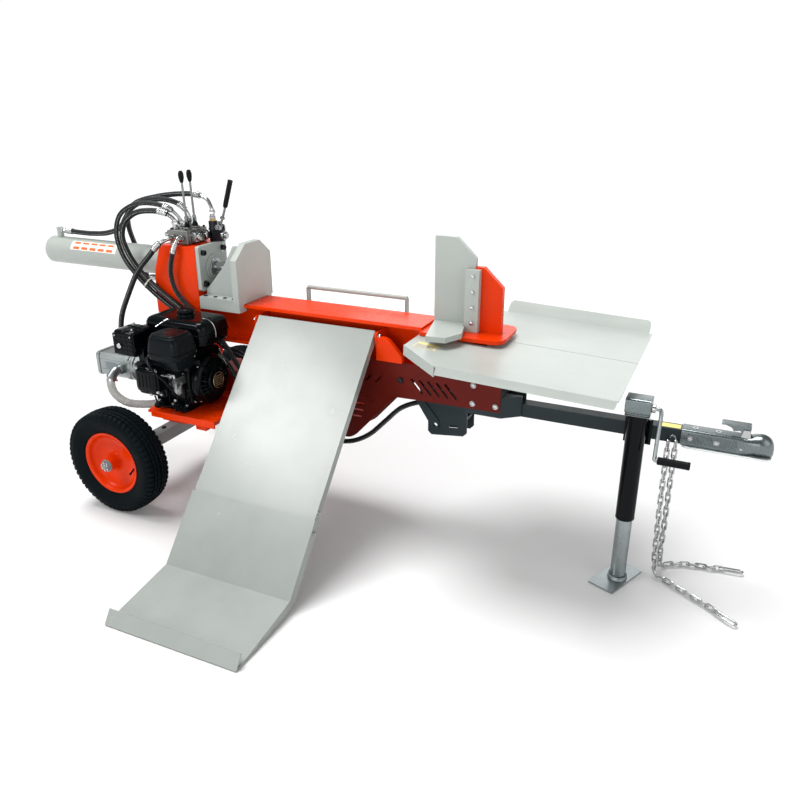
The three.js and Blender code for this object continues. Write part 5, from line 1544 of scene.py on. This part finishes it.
def coupler_unit():
    """The ball coupler with its rail, screws and latch."""
    half = COUPLER_HALF
    body = Build()
    # Cross sections from the square end to the nose; each is (x, half width, top, bottom).
    stations = [(1952, half, 541.5, 489.5), (2120, half, 541.5, 489.5),
                (2136, half + 0.2, 541.6, 489.5), (2148, half + 2, 546, 489.5),
                (2160, 31.6, 551.6, 489.5), (2172, 33, 554, 489.5), (2184, 32.4, 553.6, 489.5),
                (2196, 28.6, 549, 489.5), (2205, 22, 541, 489.8), (2211, 13, 529, 492),
                (2213.6, 5, 515, 498)]
    rings = []
    for x, w, top, low in stations:
        dome = max(0.0, min(1.0, (x - 2120) / 40))
        corner = 9 + dome * (min(w, (top - low) / 2) - 10)
        ring = rounded_rect((-w, low - 4), (w, top), max(3, corner), 8)
        rings.append([(x, a, max(b, low)) for a, b in ring])
    loft(body, rings)
    body.make("coupler_shell", "zinc_dull", bevel=0.8, smooth=42, replaces=("coupler",))
    ribs = Build()
    for k in range(34):
        rx = 1972 + 4.2 * k
        for s in (-1, 1):
            ribs.prism([(rx, s * half), (rx + 1.1, s * (half + 0.9)), (rx + 2.2, s * half)], "z",
                       498, 532)
    ribs.make("coupler_ribs", "zinc_dull", smooth=30)
    rail = Build()
    rail.prism(rounded_rect((1954, -36), (2211, 36), 24, 8), "z", 483.4, 489.4)
    rail.make("coupler_rail", "strip", bevel=1.6)
    hardware = Build()
    for bx in (1979, 2055):
        hardware.bolt((bx, -half, 515), (0, -1, 0), 8)
        hardware.hexagon((bx, half, 515), (0, 1, 0), 13, 7)
    hardware.bolt((2125, -half, 508), (0, -1, 0), 4.4)
    for bx in (1990, 2056):
        hardware.lathe([(4.2, 541.4), (9, 541.4), (9, 542.4), (4.2, 542.4)], (bx, 0, 0), "z", 24,
                       closed=True)
    hardware.bolt((1930, -23, 507.5), (0, -1, 0), 9)
    hardware.hexagon((1930, 23, 507.5), (0, 1, 0), 15, 9)
    for s in (-1, 1):
        hardware.prism([(2118, 541), (2146, 541), (2142, 566), (2124, 566)], "y", s * 16.2 - 1.8,
                       s * 16.2 + 1.8)
    hardware.make("coupler_hardware", "bright", bevel=0.6, smooth=35)
    latch = Build()
    z = COUPLER_TOP
    top = [(2060, z + 34), (2064, z + 36.6), (2141, z + 36.6), (2144, z + 33), (2144, z + 30),
           (2066, z + 31.6), (2061, z + 31)]
    latch.prism(top, "y", -17, 17)
    for s in (-1, 1):
        wing = [(2066, z + 33), (2144, z + 33), (2143, z + 16), (2138, z + 8), (2124, z + 8),
                (2114, z + 18), (2096, z + 14), (2090, z + 24)]
        latch.prism(wing, "y", s * 12.4 - 1.4, s * 12.4 + 1.4)
    latch.bar((2132, -14, z + 14), (2132, 14, z + 14), 4, 20)
    latch.hexagon((2132, -13.8, z + 14), (0, -1, 0), 9, 2.2)
    latch.bar((2104, -11, z + 22), (2104, 11, z + 22), 3, 14)
    latch.make("latch_channel", "zinc_dull", "latch", bevel=1.0, smooth=35,
               replaces=("coupler_latch",))


coupler_unit()


LIFT_FALL = 48.5  # degrees below level


def lift_bolts():
    """Bolts that hold the lift's lower plate, one above and one below the seam on each side."""
    fall = math.radians(LIFT_FALL)
    bolts = Build()
    for down, inset, reach in ((646, -11, 0), (712, -14, 4.4)):
        y = -84 - down * math.cos(fall) - inset * math.sin(fall)
        z = 742 - down * math.sin(fall) + inset * math.cos(fall)
        for x, way in ((462 - reach, -1), (935 + reach, 1)):
            bolts.bar((x, y, z), (x + way * 2, y, z), 9.5, 24, chamfer=0.6)
            bolts.bolt((x + way * 2, y, z), (way, 0, 0), 6)
    bolts.make("lift_plate_bolts", "bright", "log_lift", smooth=35)


lift_bolts()


# ------------------------------------------------------------------ plain decals and small trim
def barrel_patch(x0, x1, angle0, angle1, radius, name, look):
    """A thin film on the barrel; angles are from +y towards +z about the barrel's axis."""
    build = Build()
    steps = 14
    verts = []
    for layer in (radius, radius + 0.35):
        for i in range(steps + 1):
            a = math.radians(angle0 + (angle1 - angle0) * i / steps)
            for x in (x0, x1):
                verts.append((x, layer * math.cos(a), RAM_Z + layer * math.sin(a)))
    row = 2 * (steps + 1)
    faces = []
    for i in range(steps):
        a = 2 * i
        faces.append((a, a + 1, a + 3, a + 2))
        faces.append((row + a, row + a + 2, row + a + 3, row + a + 1))
        faces.append((a, a + 2, row + a + 2, row + a))
        faces.append((a + 1, row + a + 1, row + a + 3, a + 3))
    last = 2 * steps
    faces.append((0, row, row + 1, 1))
    faces.append((last, last + 1, row + last + 1, row + last))
    build.add(verts, faces)
    return build.make(name, look, smooth=60)


barrel_patch(-470, -230, 120, 162, 55.05, "barrel_film", "label")
for row_index, (a0, a1) in enumerate(((124, 134), (147, 158))):
    for k in range(5):
        x0 = -455 + 44 * k
        barrel_patch(x0, x0 + 32, a0, a1, 55.3, "barrel_block_%d_%d" % (row_index, k),
                     "label_orange")

table_tilt = math.radians(2.32)


def on_table(u, v, w):
    """A point on the outfeed table: u along it, v across, w above its face."""
    x = u * math.cos(table_tilt) + w * math.sin(table_tilt)
    z = -u * math.sin(table_tilt) + w * math.cos(table_tilt)
    return (1374 + x, v, 739.5 + z)


def table_strip(name, look, along, across, low, high):
    """A thin patch on the table between two shares of the label's length and width."""
    start, long_way, cross_way = Vector((-248, -206)), Vector((82, -14)), Vector((2, 56))
    spots = [start + long_way * a + cross_way * b
             for a, b in ((along[0], across[0]), (along[1], across[0]), (along[1], across[1]),
                          (along[0], across[1]))]
    build = Build()
    build.add([on_table(*spot, low) for spot in spots] + [on_table(*spot, high) for spot in spots],
              [(0, 3, 2, 1), (4, 5, 6, 7), (0, 1, 5, 4), (1, 2, 6, 5), (2, 3, 7, 6), (3, 0, 4, 7)])
    build.make(name, look)


table_strip("table_film", "label_cream", (0, 1), (0, 1), 0.1, 0.5)
table_strip("table_film_band", "label_yellow", (0.06, 0.94), (0.7, 0.9), 0.55, 0.75)
for k in range(3):
    table_strip("table_film_row_%d" % k, "film_grey", (0.08, 0.9 - 0.16 * k),
                (0.1 + 0.19 * k, 0.17 + 0.19 * k), 0.55, 0.75)
Build().box((1890, -15, 536.6), (1948, 15, 537.0)).make("tongue_film", "label_yellow")
